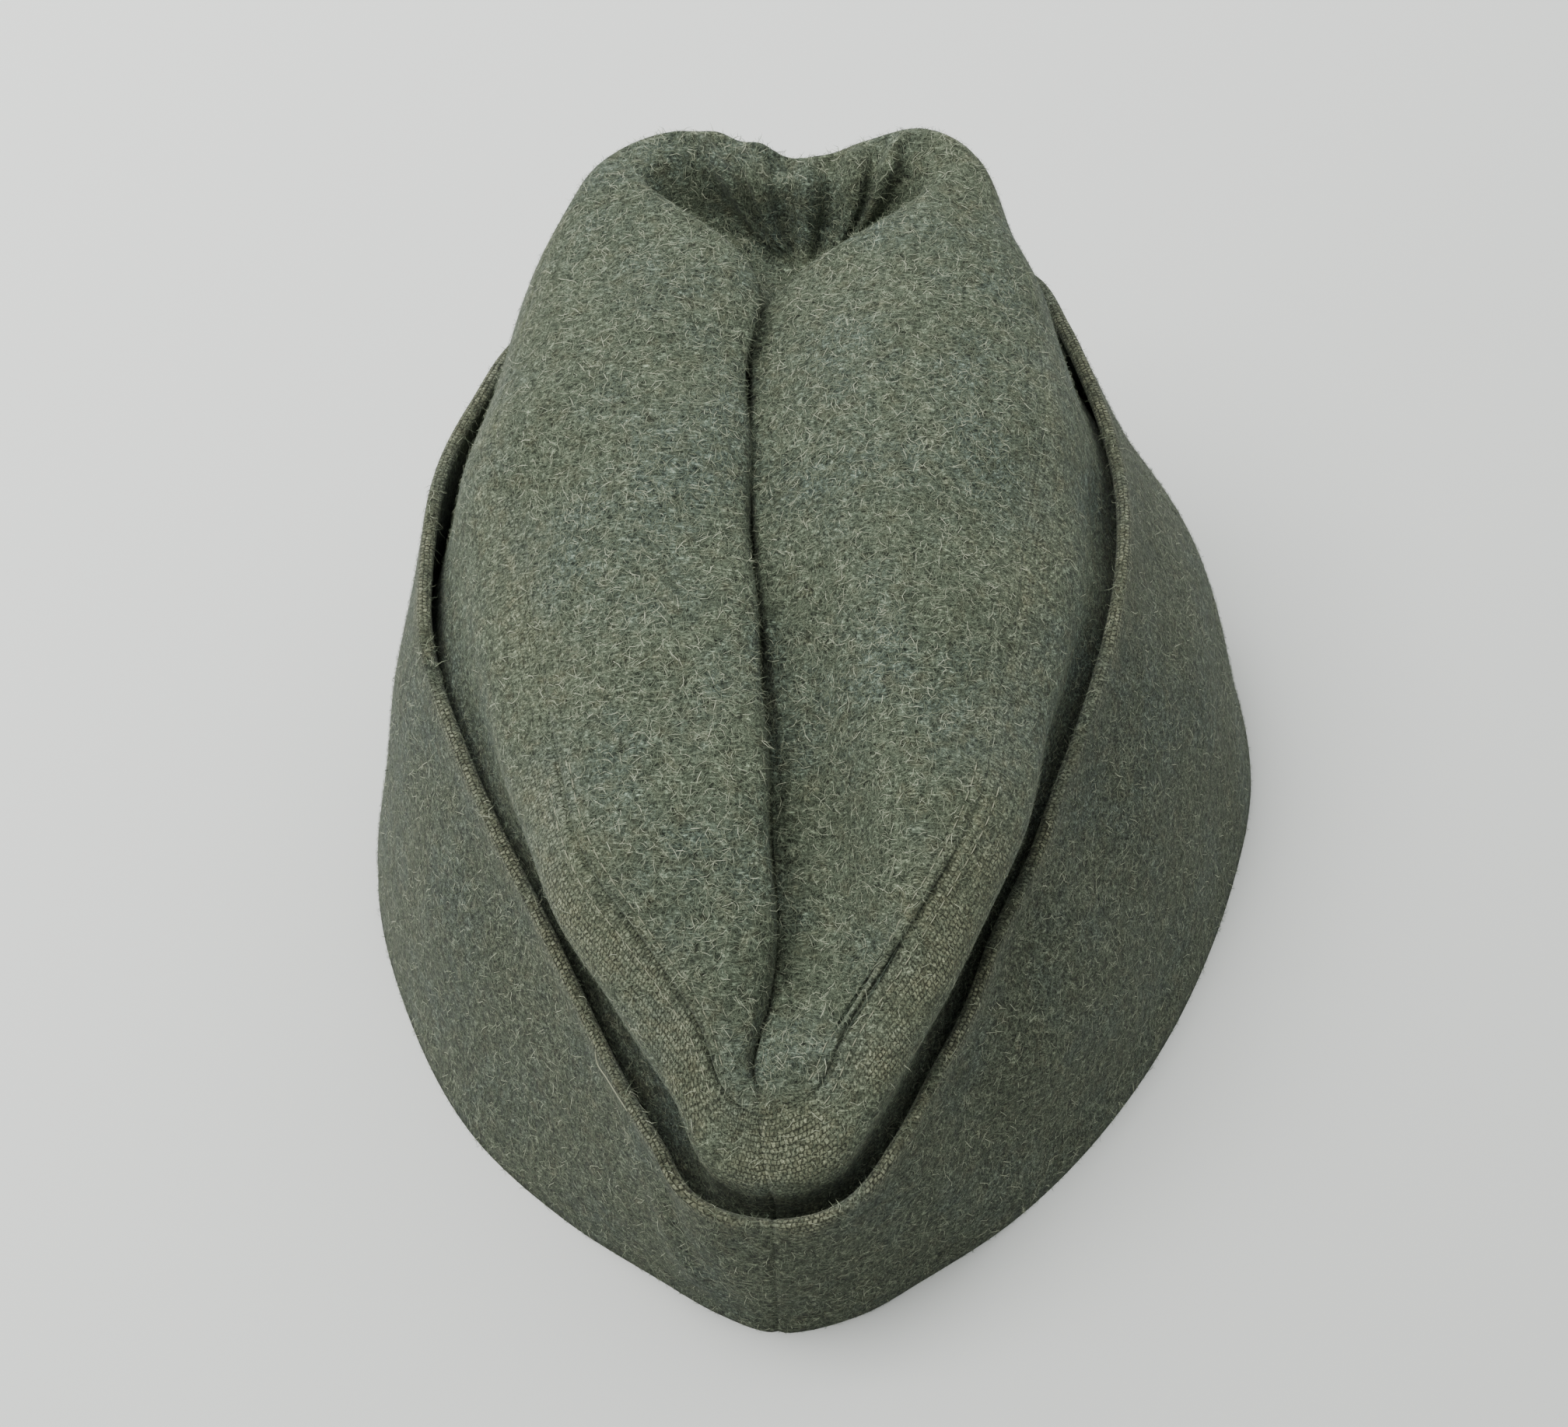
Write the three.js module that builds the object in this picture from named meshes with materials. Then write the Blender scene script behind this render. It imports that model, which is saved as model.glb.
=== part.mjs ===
import * as THREE from 'three';

// Garrison cap: a creased crown of three cloth panels inside a doubled turn-up of two halves.
// Lengths are millimetres. The front of the cap looks towards -Y, up is +Z and the wearer's
// left is on +X. The rim lies flat on the floor at z = 0, and the origin is under the middle.

// Driving sizes
const capLength = 225;
const capWidth = 182;
const crownHeight = 119;
const turnUpBack = 36.5;
const turnUpSide = 80;
const turnUpFront = 50;
const crownCloth = 1.8;
const turnUpCloth = 3;
const seamGap = 0.3;
const turnUpStand = 2.5;
const foldPinch = 0.22;
const sideBulge = 4;
const flankBulge = 2;
const lobeRiseShare = 0.12;
const lobeSag = 5;
const pleatHeight = 2;
const pleatSections = 0.13;
const pleatReach = 0.6;
const swellHeight = 2.5;
const swellReach = 0.35;
const swellFoot = 0.2;

// Sections round half of the cap, from the back centre to the front centre.
// along is a share of the length, from back (-) to front (+). right and left are shares of half
// the width, out from the middle. steps is the number of facets from this section to the next.
const RIM = [
  { along: -0.500, right: 0.000, left: 0.000, steps: 2 },
  { along: -0.484, right: 0.154, left: 0.110, steps: 2 },
  { along: -0.447, right: 0.293, left: 0.253, steps: 2 },
  { along: -0.384, right: 0.491, left: 0.473, steps: 3 },
  { along: -0.296, right: 0.676, left: 0.687, steps: 3 },
  { along: -0.176, right: 0.848, left: 0.846, steps: 3 },
  { along: -0.024, right: 0.984, left: 0.956, steps: 3 },
  { along: 0.118, right: 1.044, left: 0.945, steps: 3 },
  { along: 0.251, right: 0.989, left: 0.852, steps: 3 },
  { along: 0.367, right: 0.791, left: 0.659, steps: 3 },
  { along: 0.451, right: 0.473, left: 0.396, steps: 5 },
  { along: 0.489, right: 0.209, left: 0.187, steps: 11 },
  { along: 0.500, right: 0.000, left: 0.000, steps: 0 },
];

// Where the crown's side passes the turn-up's edge, at the height that the turn-up has there.
// bulge is how far the side stands out half-way below it, as a share of sideBulge, and flank is
// how far it stands out half-way up to the ridge, as a share of flankBulge.
const EDGE = [
  { along: -0.471, right: 0.005, left: -0.005, bulgeRight: 0.3, bulgeLeft: 0.3, flank: 0.2 },
  { along: -0.458, right: 0.126, left: 0.110, bulgeRight: 0.3, bulgeLeft: 0.3, flank: 0.5 },
  { along: -0.427, right: 0.212, left: 0.159, bulgeRight: 0.4, bulgeLeft: 0.3, flank: 0.8 },
  { along: -0.353, right: 0.316, left: 0.284, bulgeRight: 0.4, bulgeLeft: 0.3, flank: 1.0 },
  { along: -0.256, right: 0.432, left: 0.437, bulgeRight: 0.4, bulgeLeft: 0.4, flank: 1.0 },
  { along: -0.142, right: 0.547, left: 0.603, bulgeRight: 0.6, bulgeLeft: 0.7, flank: 1.0 },
  { along: -0.007, right: 0.659, left: 0.721, bulgeRight: 1.0, bulgeLeft: 0.6, flank: 0.8 },
  { along: 0.131, right: 0.684, left: 0.725, bulgeRight: 1.3, bulgeLeft: 0.3, flank: 0.6 },
  { along: 0.251, right: 0.651, left: 0.663, bulgeRight: 1.2, bulgeLeft: 0.1, flank: 0.5 },
  { along: 0.353, right: 0.566, left: 0.566, bulgeRight: 0.8, bulgeLeft: 0.2, flank: 0.4 },
  { along: 0.422, right: 0.467, left: 0.374, bulgeRight: 0.5, bulgeLeft: 0.4, flank: 0.3 },
  { along: 0.456, right: 0.209, left: 0.187, bulgeRight: 0.3, bulgeLeft: 0.3, flank: 0.2 },
  { along: 0.462, right: 0.005, left: -0.005, bulgeRight: 0.2, bulgeLeft: 0.2, flank: 0.1 },
];

// The seam or soft edge where each side panel meets the top. up is a share of the crown's height.
const RIDGE = [
  { along: -0.442, right: -0.022, left: 0.022, up: 0.454 },
  { along: -0.429, right: 0.088, left: 0.091, up: 0.479 },
  { along: -0.389, right: 0.163, left: 0.147, up: 0.555 },
  { along: -0.336, right: 0.275, left: 0.266, up: 0.647 },
  { along: -0.256, right: 0.399, left: 0.404, up: 0.731 },
  { along: -0.140, right: 0.473, left: 0.465, up: 0.790 },
  { along: -0.002, right: 0.516, left: 0.533, up: 0.849 },
  { along: 0.131, right: 0.560, left: 0.604, up: 0.891 },
  { along: 0.251, right: 0.538, left: 0.555, up: 0.916 },
  { along: 0.340, right: 0.473, left: 0.500, up: 0.945 },
  { along: 0.402, right: 0.418, left: 0.423, up: 0.975 },
  { along: 0.429, right: 0.291, left: 0.258, up: 1.000 },
  { along: 0.413, right: 0.022, left: -0.022, up: 0.966 },
];

// The lip where the top panel turns down into the crease, or into the hollow at the front.
// One point of the wall below it keeps the share slack of the lip's distance from the bottom
// line, at the share hang of the lip's height above that line.
const LIP = [
  { along: -0.431, right: -0.016, left: 0.038, up: 0.479, slack: 0.40, hang: 0.62 },
  { along: -0.413, right: -0.005, left: 0.049, up: 0.517, slack: 0.25, hang: 0.62 },
  { along: -0.371, right: 0.027, left: 0.022, up: 0.588, slack: 0.20, hang: 0.62 },
  { along: -0.318, right: 0.042, left: 0.007, up: 0.664, slack: 0.20, hang: 0.62 },
  { along: -0.238, right: 0.029, left: 0.024, up: 0.756, slack: 0.20, hang: 0.62 },
  { along: -0.122, right: 0.004, left: 0.044, up: 0.840, slack: 0.20, hang: 0.62 },
  { along: 0.011, right: -0.022, left: 0.071, up: 0.908, slack: 0.20, hang: 0.62 },
  { along: 0.131, right: -0.031, left: 0.071, up: 0.945, slack: 0.20, hang: 0.62 },
  { along: 0.238, right: 0.005, left: 0.021, up: 0.962, slack: 0.35, hang: 0.60 },
  { along: 0.304, right: 0.148, left: 0.132, up: 0.983, slack: 0.75, hang: 0.40 },
  { along: 0.376, right: 0.302, left: 0.313, up: 0.992, slack: 0.80, hang: 0.30 },
  { along: 0.394, right: 0.262, left: 0.230, up: 0.983, slack: 0.72, hang: 0.32 },
  { along: 0.380, right: 0.022, left: -0.022, up: 0.950, slack: 0.66, hang: 0.30 },
];

// The bottom of the crease, which both lobes share, and the floor of the front hollow
const VALLEY = [
  { along: -0.422, right: -0.033, up: 0.471 },
  { along: -0.404, right: -0.033, up: 0.487 },
  { along: -0.364, right: -0.005, up: 0.521 },
  { along: -0.313, right: 0.011, up: 0.571 },
  { along: -0.233, right: -0.005, up: 0.647 },
  { along: -0.118, right: -0.027, up: 0.723 },
  { along: 0.016, right: -0.055, up: 0.782 },
  { along: 0.136, right: -0.060, up: 0.815 },
  { along: 0.238, right: -0.038, up: 0.824 },
  { along: 0.291, right: 0.016, up: 0.815 },
  { along: 0.324, right: 0.027, up: 0.807 },
  { along: 0.342, right: 0.035, up: 0.803 },
  { along: 0.351, right: 0.035, up: 0.807 },
];

// The turn-up. rise goes from its height at the back or front centre (0) to its height at the
// sides (1). stand is how far its top edge stands off the crown, as a share of turnUpStand.
const TURN_UP = [
  { riseRight: 0.00, riseLeft: 0.00, standRight: 1.7, standLeft: 1.7 },
  { riseRight: 0.04, riseLeft: 0.04, standRight: 1.7, standLeft: 2.0 },
  { riseRight: 0.17, riseLeft: 0.17, standRight: 1.4, standLeft: 2.3 },
  { riseRight: 0.33, riseLeft: 0.33, standRight: 1.2, standLeft: 2.0 },
  { riseRight: 0.57, riseLeft: 0.57, standRight: 1.0, standLeft: 1.4 },
  { riseRight: 0.77, riseLeft: 0.77, standRight: 1.0, standLeft: 1.0 },
  { riseRight: 0.95, riseLeft: 0.95, standRight: 1.0, standLeft: 1.0 },
  { riseRight: 1.00, riseLeft: 1.00, standRight: 1.0, standLeft: 1.0 },
  { riseRight: 0.99, riseLeft: 0.97, standRight: 1.0, standLeft: 1.0 },
  { riseRight: 0.96, riseLeft: 0.88, standRight: 0.9, standLeft: 0.9 },
  { riseRight: 0.90, riseLeft: 0.53, standRight: 0.7, standLeft: 0.7 },
  { riseRight: 0.17, riseLeft: 0.17, standRight: 0.5, standLeft: 0.5 },
  { riseRight: 0.00, riseLeft: 0.00, standRight: 0.5, standLeft: 0.5 },
];

// Gathers on the front wall of the hollow. turn counts sections on round the whole cap, from
// the back centre (0) past the wearer's right and the front centre (12) to the left. push is how
// far a gather stands out of the wall, and lift how far it raises the wall's top edge, both as
// shares of pleatHeight.
const PLEATS = [
  { turn: 11.24, push: 0.8, lift: 0.0 },
  { turn: 11.56, push: 0.7, lift: 0.2 },
  { turn: 11.90, push: 0.5, lift: 0.2 },
  { turn: 12.30, push: 1.0, lift: 1.1 },
  { turn: 12.62, push: 0.9, lift: 0.7 },
];

// Soft swellings of the turn-up. level is a share of its height, spread is in sections and
// size is a share of swellHeight. They fade out towards the rim.
const SWELLS = [
  { turn: 4.2, level: 0.55, size: 1.0, spread: 1.1 },
  { turn: 21.2, level: 0.50, size: 0.7, spread: 0.8 },
];

// Where the rows of facets lie on a rib, counted in its control points: the rim is 0, the
// turn-up's edge 2, the ridge 4, the lip 7 and the bottom of the crease 9
const UNDER_EDGE = [0, 0.4, 0.8, 1.2, 1.6, 2];
const ABOVE_EDGE = [2.6, 3.2, 3.85, 4];
const OVER_TOP = [4.5, 5, 5.5, 6, 6.45, 6.75, 7, 7.3, 7.65, 8, 8.5, 9];

const STOPS = [...UNDER_EDGE, ...ABOVE_EDGE, ...OVER_TOP];
const ridgeStop = ABOVE_EDGE.at(-1);
const foldRise = 0.4 * turnUpCloth;
const UP = new THREE.Vector3(0, 0, 1);

const half = RIM.length - 1;
const whole = 2 * half;
const edgeRow = UNDER_EDGE.length - 1;
const ridgeRow = edgeRow + ABOVE_EDGE.length;
const valleyRow = ridgeRow + OVER_TOP.length;

// A place given by shares of a length, a width and a height
function place(along, across, up, length, width, height) {
  return new THREE.Vector3(-across * width / 2, -along * length, up * height);
}

// A closed smooth line through the sections of a table, up the wearer's right side from the
// back and down the left
function lineRound(rows, length, width, height) {
  const right = rows.map((r) => place(r.along, r.right, r.up ?? 0, length, width, height));
  const left = rows.map((r) => place(r.along, -r.left, r.up ?? 0, length, width, height));
  return new THREE.CatmullRomCurve3(right.concat(left.slice(1, half).reverse()), true, 'centripetal');
}

// Two columns of a table as one smooth value round the cap
function valueRound(rows, rightColumn, leftColumn) {
  const right = rows.map((r) => new THREE.Vector3(r[rightColumn], 0, 0));
  const left = rows.map((r) => new THREE.Vector3(r[leftColumn], 0, 0));
  const points = right.concat(left.slice(1, half).reverse());
  const curve = new THREE.CatmullRomCurve3(points, true, 'catmullrom', 0.5);
  return (turn) => curve.getPoint(turn / whole).x;
}

const crownLength = capLength - 2 * (turnUpCloth + seamGap);
const crownWidth = capWidth - 2 * (turnUpCloth + seamGap);
const rimLine = lineRound(RIM, crownLength, crownWidth, 0);
const edgeLine = lineRound(EDGE, capLength, capWidth, 0);
const ridgeLine = lineRound(RIDGE, capLength, capWidth, crownHeight);
const lipLine = lineRound(LIP, capLength, capWidth, crownHeight);
const valleyPoints = VALLEY.map((r) => place(r.along, r.right, r.up, capLength, capWidth, crownHeight));
const valleyLine = new THREE.CatmullRomCurve3(valleyPoints, false, 'centripetal');
const bulge = valueRound(EDGE, 'bulgeRight', 'bulgeLeft');
const flankStand = valueRound(EDGE, 'flank', 'flank');
const lipSlack = valueRound(LIP, 'slack', 'slack');
const lipHang = valueRound(LIP, 'hang', 'hang');
const turnUpRise = valueRound(TURN_UP, 'riseRight', 'riseLeft');
const turnUpOff = valueRound(TURN_UP, 'standRight', 'standLeft');

// Where the ribs of facets stand round the cap, counted in sections
function ribTurns() {
  const turns = [];
  for (let i = 0; i < half; i += 1) {
    for (let s = 0; s < RIM[i].steps; s += 1) turns.push(i + s / RIM[i].steps);
  }
  const back = turns.slice(1).map((t) => whole - t).reverse();
  return [...turns, half, ...back];
}

const turns = ribTurns();
const ribCount = turns.length;
const frontRib = ribCount / 2;

// The height of the turn-up's edge
function edgeHeight(turn) {
  const fromBack = Math.min(turn, whole - turn);
  const centre = fromBack < half / 2 ? turnUpBack : turnUpFront;
  return THREE.MathUtils.lerp(centre, turnUpSide, turnUpRise(turn));
}

// The push or the lift of the gathers at a place round the cap
function pleatSum(turn, column) {
  let sum = 0;
  for (const pleat of PLEATS) {
    sum += pleat[column] * Math.exp(-(((turn - pleat.turn) / pleatSections) ** 2));
  }
  return sum * pleatHeight;
}

// One rib of the crown's outer surface, from the rim over the ridge to the crease's bottom
function crownRib(turn) {
  const rim = rimLine.getPoint(turn / whole);
  const edge = edgeLine.getPoint(turn / whole).setZ(edgeHeight(turn) - foldRise);
  const ridge = ridgeLine.getPoint(turn / whole);
  const lip = lipLine.getPoint(turn / whole);
  const valley = valleyLine.getPoint(Math.min(turn, whole - turn) / half);

  const outward = rimLine.getTangent(turn / whole).cross(UP);
  const side = rim.clone().lerp(edge, 0.5).addScaledVector(outward, bulge(turn) * sideBulge);
  const flank = edge.clone().lerp(ridge, 0.5).addScaledVector(outward, flankStand(turn) * flankBulge);

  // The right lobe sags towards the crease, and the left one stays full up to its lip
  const rise = lobeRiseShare * ridge.distanceTo(lip);
  const sag = turn > 0 && turn < half ? lobeSag * Math.min(1, rise / lobeSag) : 0;
  const lobe = (share, lift) => ridge.clone().lerp(lip, share).addScaledVector(UP, lift);
  const wall = valley.clone().lerp(lip, lipSlack(turn));
  wall.z = THREE.MathUtils.lerp(valley.z, lip.z, lipHang(turn));

  const rib = new THREE.CatmullRomCurve3([
    rim,
    side,
    edge,
    flank,
    ridge,
    lobe(1 / 3, rise),
    lobe(2 / 3, rise - sag / 3),
    lip.clone().addScaledVector(UP, -sag),
    wall,
    valley,
  ], false, 'centripetal');
  const spans = rib.points.length - 1;
  const push = pleatSum(turn, 'push');
  const lift = pleatSum(turn, 'lift');
  return STOPS.map((stop) => {
    const down = stop > ridgeStop ? Math.sin(Math.PI * (spans - stop) / (spans - ridgeStop)) : 0;
    const near = Math.exp(-(((stop - ridgeStop) / pleatReach) ** 2));
    return rib.getPoint(stop / spans).add(new THREE.Vector3(0, push * down, lift * near));
  });
}

const crown = turns.map(crownRib);

// The crease's bottom is one line, so a rib on the left ends on its partner from the right
function vertexId(rib, row) {
  const r = (rib + ribCount) % ribCount;
  const partner = row === valleyRow && r > frontRib ? ribCount - r : r;
  return partner * (valleyRow + 1) + row;
}

// Two triangles for each facet between the ribs and rows given
function facets(firstRib, lastRib, firstRow, lastRow) {
  const faces = [];
  for (let rib = firstRib; rib < lastRib; rib += 1) {
    for (let row = firstRow; row < lastRow; row += 1) {
      const a = vertexId(rib, row);
      const b = vertexId(rib + 1, row);
      const c = vertexId(rib + 1, row + 1);
      const d = vertexId(rib, row + 1);
      if (a !== b) faces.push([a, b, c]);
      if (c !== d) faces.push([a, c, d]);
    }
  }
  return faces;
}

// Smooth normals of the crown's outer surface, one for each vertex
function crownNormals() {
  const geometry = new THREE.BufferGeometry();
  const places = crown.flat().flatMap((p) => p.toArray());
  geometry.setAttribute('position', new THREE.Float32BufferAttribute(places, 3));
  geometry.setIndex(facets(0, ribCount, 0, valleyRow).flat());
  geometry.computeVertexNormals();
  const normal = geometry.getAttribute('normal');
  return Array.from({ length: normal.count }, (_, i) => new THREE.Vector3().fromBufferAttribute(normal, i));
}

const normals = crownNormals();

// A point off the crown's outer surface. On the floor it moves level, so the rim stays flat.
function offCrown(rib, row, distance) {
  const normal = normals[vertexId(rib, row)].clone();
  if (row === 0) normal.setZ(0).normalize();
  return crown[(rib + ribCount) % ribCount][row].clone().addScaledVector(normal, distance);
}

// A closed sheet of cloth between an outer and an inner copy of the same faces
function sheet(faces, outer, inner) {
  const ids = [...new Set(faces.flat())];
  const slot = new Map(ids.map((id, i) => [id, i]));
  const points = ids.map((id) => outer(id)).concat(ids.map((id) => inner(id)));
  const under = ids.length;
  const edges = new Set(faces.flatMap(([a, b, c]) => [`${a},${b}`, `${b},${c}`, `${c},${a}`]));
  const index = [];
  for (const [a, b, c] of faces.map((f) => f.map((id) => slot.get(id)))) {
    index.push(a, b, c, a + under, c + under, b + under);
  }
  for (const edge of edges) {
    const [from, to] = edge.split(',').map(Number);
    if (!edges.has(`${to},${from}`)) {
      const a = slot.get(from);
      const b = slot.get(to);
      index.push(b, a, a + under, b, a + under, b + under);
    }
  }
  const geometry = new THREE.BufferGeometry();
  geometry.setAttribute('position', new THREE.Float32BufferAttribute(points.flatMap((p) => p.toArray()), 3));
  geometry.setIndex(index);
  return geometry;
}

// Moves a point half of the seam's gap towards its neighbour
function pull(point, neighbour) {
  const way = neighbour.clone().sub(point).setLength(seamGap / 2);
  return point.add(way);
}

// One crown panel between the ribs and rows given, drawn in by half a gap at its seams
function crownPanel(firstRib, lastRib, firstRow, lastRow) {
  const closed = lastRib - firstRib === ribCount;
  const at = (id, distance) => {
    const row = id % (valleyRow + 1);
    let rib = Math.floor(id / (valleyRow + 1));
    if (!closed && rib === 0 && lastRib === ribCount) rib = ribCount;
    const point = offCrown(rib, row, distance);
    if (row === ridgeRow) pull(point, offCrown(rib, row + (row === lastRow ? -1 : 1), distance));
    if (!closed && rib === firstRib) pull(point, offCrown(rib + 1, row, distance));
    if (!closed && rib === lastRib) pull(point, offCrown(rib - 1, row, distance));
    return point;
  };
  const faces = facets(firstRib, lastRib, firstRow, lastRow);
  return sheet(faces, (id) => at(id, 0), (id) => at(id, -crownCloth));
}

// How far the turn-up's inner face stands off the crown at a share of its height
function standOff(turn, level) {
  let off = seamGap + turnUpOff(turn) * turnUpStand * level ** 2;
  for (const swell of SWELLS) {
    const away = ((turn - swell.turn) / swell.spread) ** 2 + ((level - swell.level) / swellReach) ** 2;
    off += swell.size * swellHeight * Math.exp(-away) * Math.min(1, level / swellFoot);
  }
  return off;
}

// Half of the turn-up: both of its faces follow the crown's side up to a rounded top fold
function turnUp(firstRib, lastRib) {
  const foldRow = edgeRow + 1;
  const at = (id, outside) => {
    const rib = firstRib + Math.floor(id / (foldRow + 1));
    const row = id % (foldRow + 1);
    const turn = turns[rib % ribCount];
    const level = UNDER_EDGE[Math.min(row, edgeRow)] / UNDER_EDGE[edgeRow];
    const middle = standOff(turn, level) + turnUpCloth / 2;
    const spread = (row === foldRow ? foldPinch : 0.5) * turnUpCloth * (outside ? 1 : -1);
    const onRib = (r) => {
      const point = offCrown(r, Math.min(row, edgeRow), middle + spread);
      if (row === foldRow) point.z += foldRise;
      return point;
    };
    const point = onRib(rib);
    if (rib === firstRib) pull(point, onRib(rib + 1));
    if (rib === lastRib) pull(point, onRib(rib - 1));
    return point;
  };
  const faces = [];
  for (let rib = 0; rib < lastRib - firstRib; rib += 1) {
    for (let row = 0; row < foldRow; row += 1) {
      const a = rib * (foldRow + 1) + row;
      const b = a + foldRow + 1;
      faces.push([a, b, b + 1], [a, b + 1, a + 1]);
    }
  }
  return sheet(faces, (id) => at(id, true), (id) => at(id, false));
}

const wool = new THREE.MeshStandardMaterial({ color: 0x6a7361, roughness: 0.96, metalness: 0 });
const wornWool = new THREE.MeshStandardMaterial({ color: 0x616a5a, roughness: 0.96, metalness: 0 });

function piece(name, geometry, material) {
  geometry.computeVertexNormals();
  const mesh = new THREE.Mesh(geometry, material);
  mesh.name = name;
  return mesh;
}

const cap = new THREE.Group();
cap.add(piece('crown_side_right', crownPanel(0, frontRib, 0, ridgeRow), wool));
cap.add(piece('crown_side_left', crownPanel(frontRib, ribCount, 0, ridgeRow), wool));
cap.add(piece('crown_top', crownPanel(0, ribCount, ridgeRow, valleyRow), wool));
cap.add(piece('turn_up_right', turnUp(0, frontRib), wornWool));
cap.add(piece('turn_up_left', turnUp(frontRib, ribCount), wornWool));

// The origin lies on the floor under the middle of the cap
const middle = new THREE.Box3().setFromObject(cap).getCenter(new THREE.Vector3());
cap.position.set(-middle.x, -middle.y, 0);

export default cap;
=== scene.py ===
"""Garrison cap: brushed wool panels, a creased crown and a doubled turn-up, seen from behind.

Lengths are metres unless a name says mm. The front of the cap looks towards -Y, up is +Z and
the wearer's left is on +X, so the camera stands behind the cap and looks down at it.
"""

import math

import bmesh
import bpy
import numpy as np
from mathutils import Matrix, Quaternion, Vector


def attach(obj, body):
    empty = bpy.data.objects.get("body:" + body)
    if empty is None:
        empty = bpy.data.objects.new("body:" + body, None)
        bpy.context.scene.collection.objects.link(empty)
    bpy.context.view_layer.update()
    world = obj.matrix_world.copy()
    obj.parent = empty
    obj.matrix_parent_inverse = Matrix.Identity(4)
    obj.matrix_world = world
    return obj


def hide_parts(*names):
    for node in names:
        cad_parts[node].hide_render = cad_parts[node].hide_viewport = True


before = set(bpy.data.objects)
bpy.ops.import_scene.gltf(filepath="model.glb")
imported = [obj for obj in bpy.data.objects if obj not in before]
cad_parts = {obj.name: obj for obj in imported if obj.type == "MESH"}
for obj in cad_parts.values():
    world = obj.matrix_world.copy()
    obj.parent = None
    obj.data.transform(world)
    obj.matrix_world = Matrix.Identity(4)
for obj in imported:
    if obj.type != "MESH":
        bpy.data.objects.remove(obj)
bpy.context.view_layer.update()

MM = 0.001

# Driving sizes of the cap, in millimetres
CAP_LENGTH = 225.0
CAP_WIDTH = 182.0
CROWN_HEIGHT = 119.0
TURN_UP_BACK = 36.5
TURN_UP_SIDE = 80.0
TURN_UP_FRONT = 50.0
CROWN_CLOTH = 1.8
TURN_UP_CLOTH = 3.0
LAYER_GAP = 0.3
TURN_UP_STAND = 2.5
SIDE_BULGE = 4.0
FLANK_BULGE = 2.0
LOBE_RISE_SHARE = 0.12
LOBE_SAG = 5.0
PLEAT_HEIGHT = 2.0
PLEAT_SECTIONS = 0.13
PLEAT_REACH = 0.6
PLEAT_END = (7.6, 8.6)
FOLD_RISE = 0.4 * TURN_UP_CLOTH

# How finely the surfaces are cut: ribs for each step of the RIM table, and rows
RIBS_PER_STEP = 6
SIDE_ROWS = 36
SEAM_ROWS = 12
LOBE_ROWS = 16
WALL_ROWS = 36
TURN_UP_ROWS = 30
FOLD_ROWS = 8


def table(columns, *rows):
    """One array for each named column."""
    return dict(zip(columns.split(), np.array(rows, float).T))


# Sections from the back centre to the front centre, as shares of the sizes above
RIM = table(
    "along right left steps",
    (-0.500, 0.000, 0.000, 2),
    (-0.484, 0.154, 0.110, 2),
    (-0.447, 0.293, 0.253, 2),
    (-0.384, 0.491, 0.473, 3),
    (-0.296, 0.676, 0.687, 3),
    (-0.176, 0.848, 0.846, 3),
    (-0.024, 0.984, 0.956, 3),
    (0.118, 1.044, 0.945, 3),
    (0.251, 0.989, 0.852, 3),
    (0.367, 0.791, 0.659, 3),
    (0.451, 0.473, 0.396, 5),
    (0.489, 0.209, 0.187, 11),
    (0.500, 0.000, 0.000, 0),
)
EDGE = table(
    "along right left bulge_right bulge_left flank",
    (-0.471, 0.005, -0.005, 0.3, 0.3, 0.2),
    (-0.458, 0.126, 0.110, 0.3, 0.3, 0.5),
    (-0.427, 0.212, 0.159, 0.4, 0.3, 0.8),
    (-0.353, 0.316, 0.284, 0.4, 0.3, 1.0),
    (-0.256, 0.432, 0.437, 0.4, 0.4, 1.0),
    (-0.142, 0.547, 0.603, 0.6, 0.7, 1.0),
    (-0.007, 0.659, 0.721, 1.0, 0.6, 0.8),
    (0.131, 0.684, 0.725, 1.3, 0.3, 0.6),
    (0.251, 0.651, 0.663, 1.2, 0.1, 0.5),
    (0.353, 0.566, 0.566, 0.8, 0.2, 0.4),
    (0.422, 0.467, 0.374, 0.5, 0.4, 0.3),
    (0.456, 0.209, 0.187, 0.3, 0.3, 0.2),
    (0.462, 0.005, -0.005, 0.2, 0.2, 0.1),
)
RIDGE = table(
    "along right left up",
    (-0.442, -0.022, 0.022, 0.454),
    (-0.429, 0.088, 0.091, 0.479),
    (-0.389, 0.163, 0.147, 0.555),
    (-0.336, 0.275, 0.266, 0.647),
    (-0.256, 0.399, 0.404, 0.731),
    (-0.140, 0.473, 0.465, 0.790),
    (-0.002, 0.516, 0.533, 0.849),
    (0.131, 0.560, 0.604, 0.891),
    (0.251, 0.538, 0.555, 0.916),
    (0.340, 0.473, 0.500, 0.945),
    (0.402, 0.418, 0.423, 0.975),
    (0.429, 0.291, 0.258, 1.000),
    (0.413, 0.022, -0.022, 0.966),
)
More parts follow.
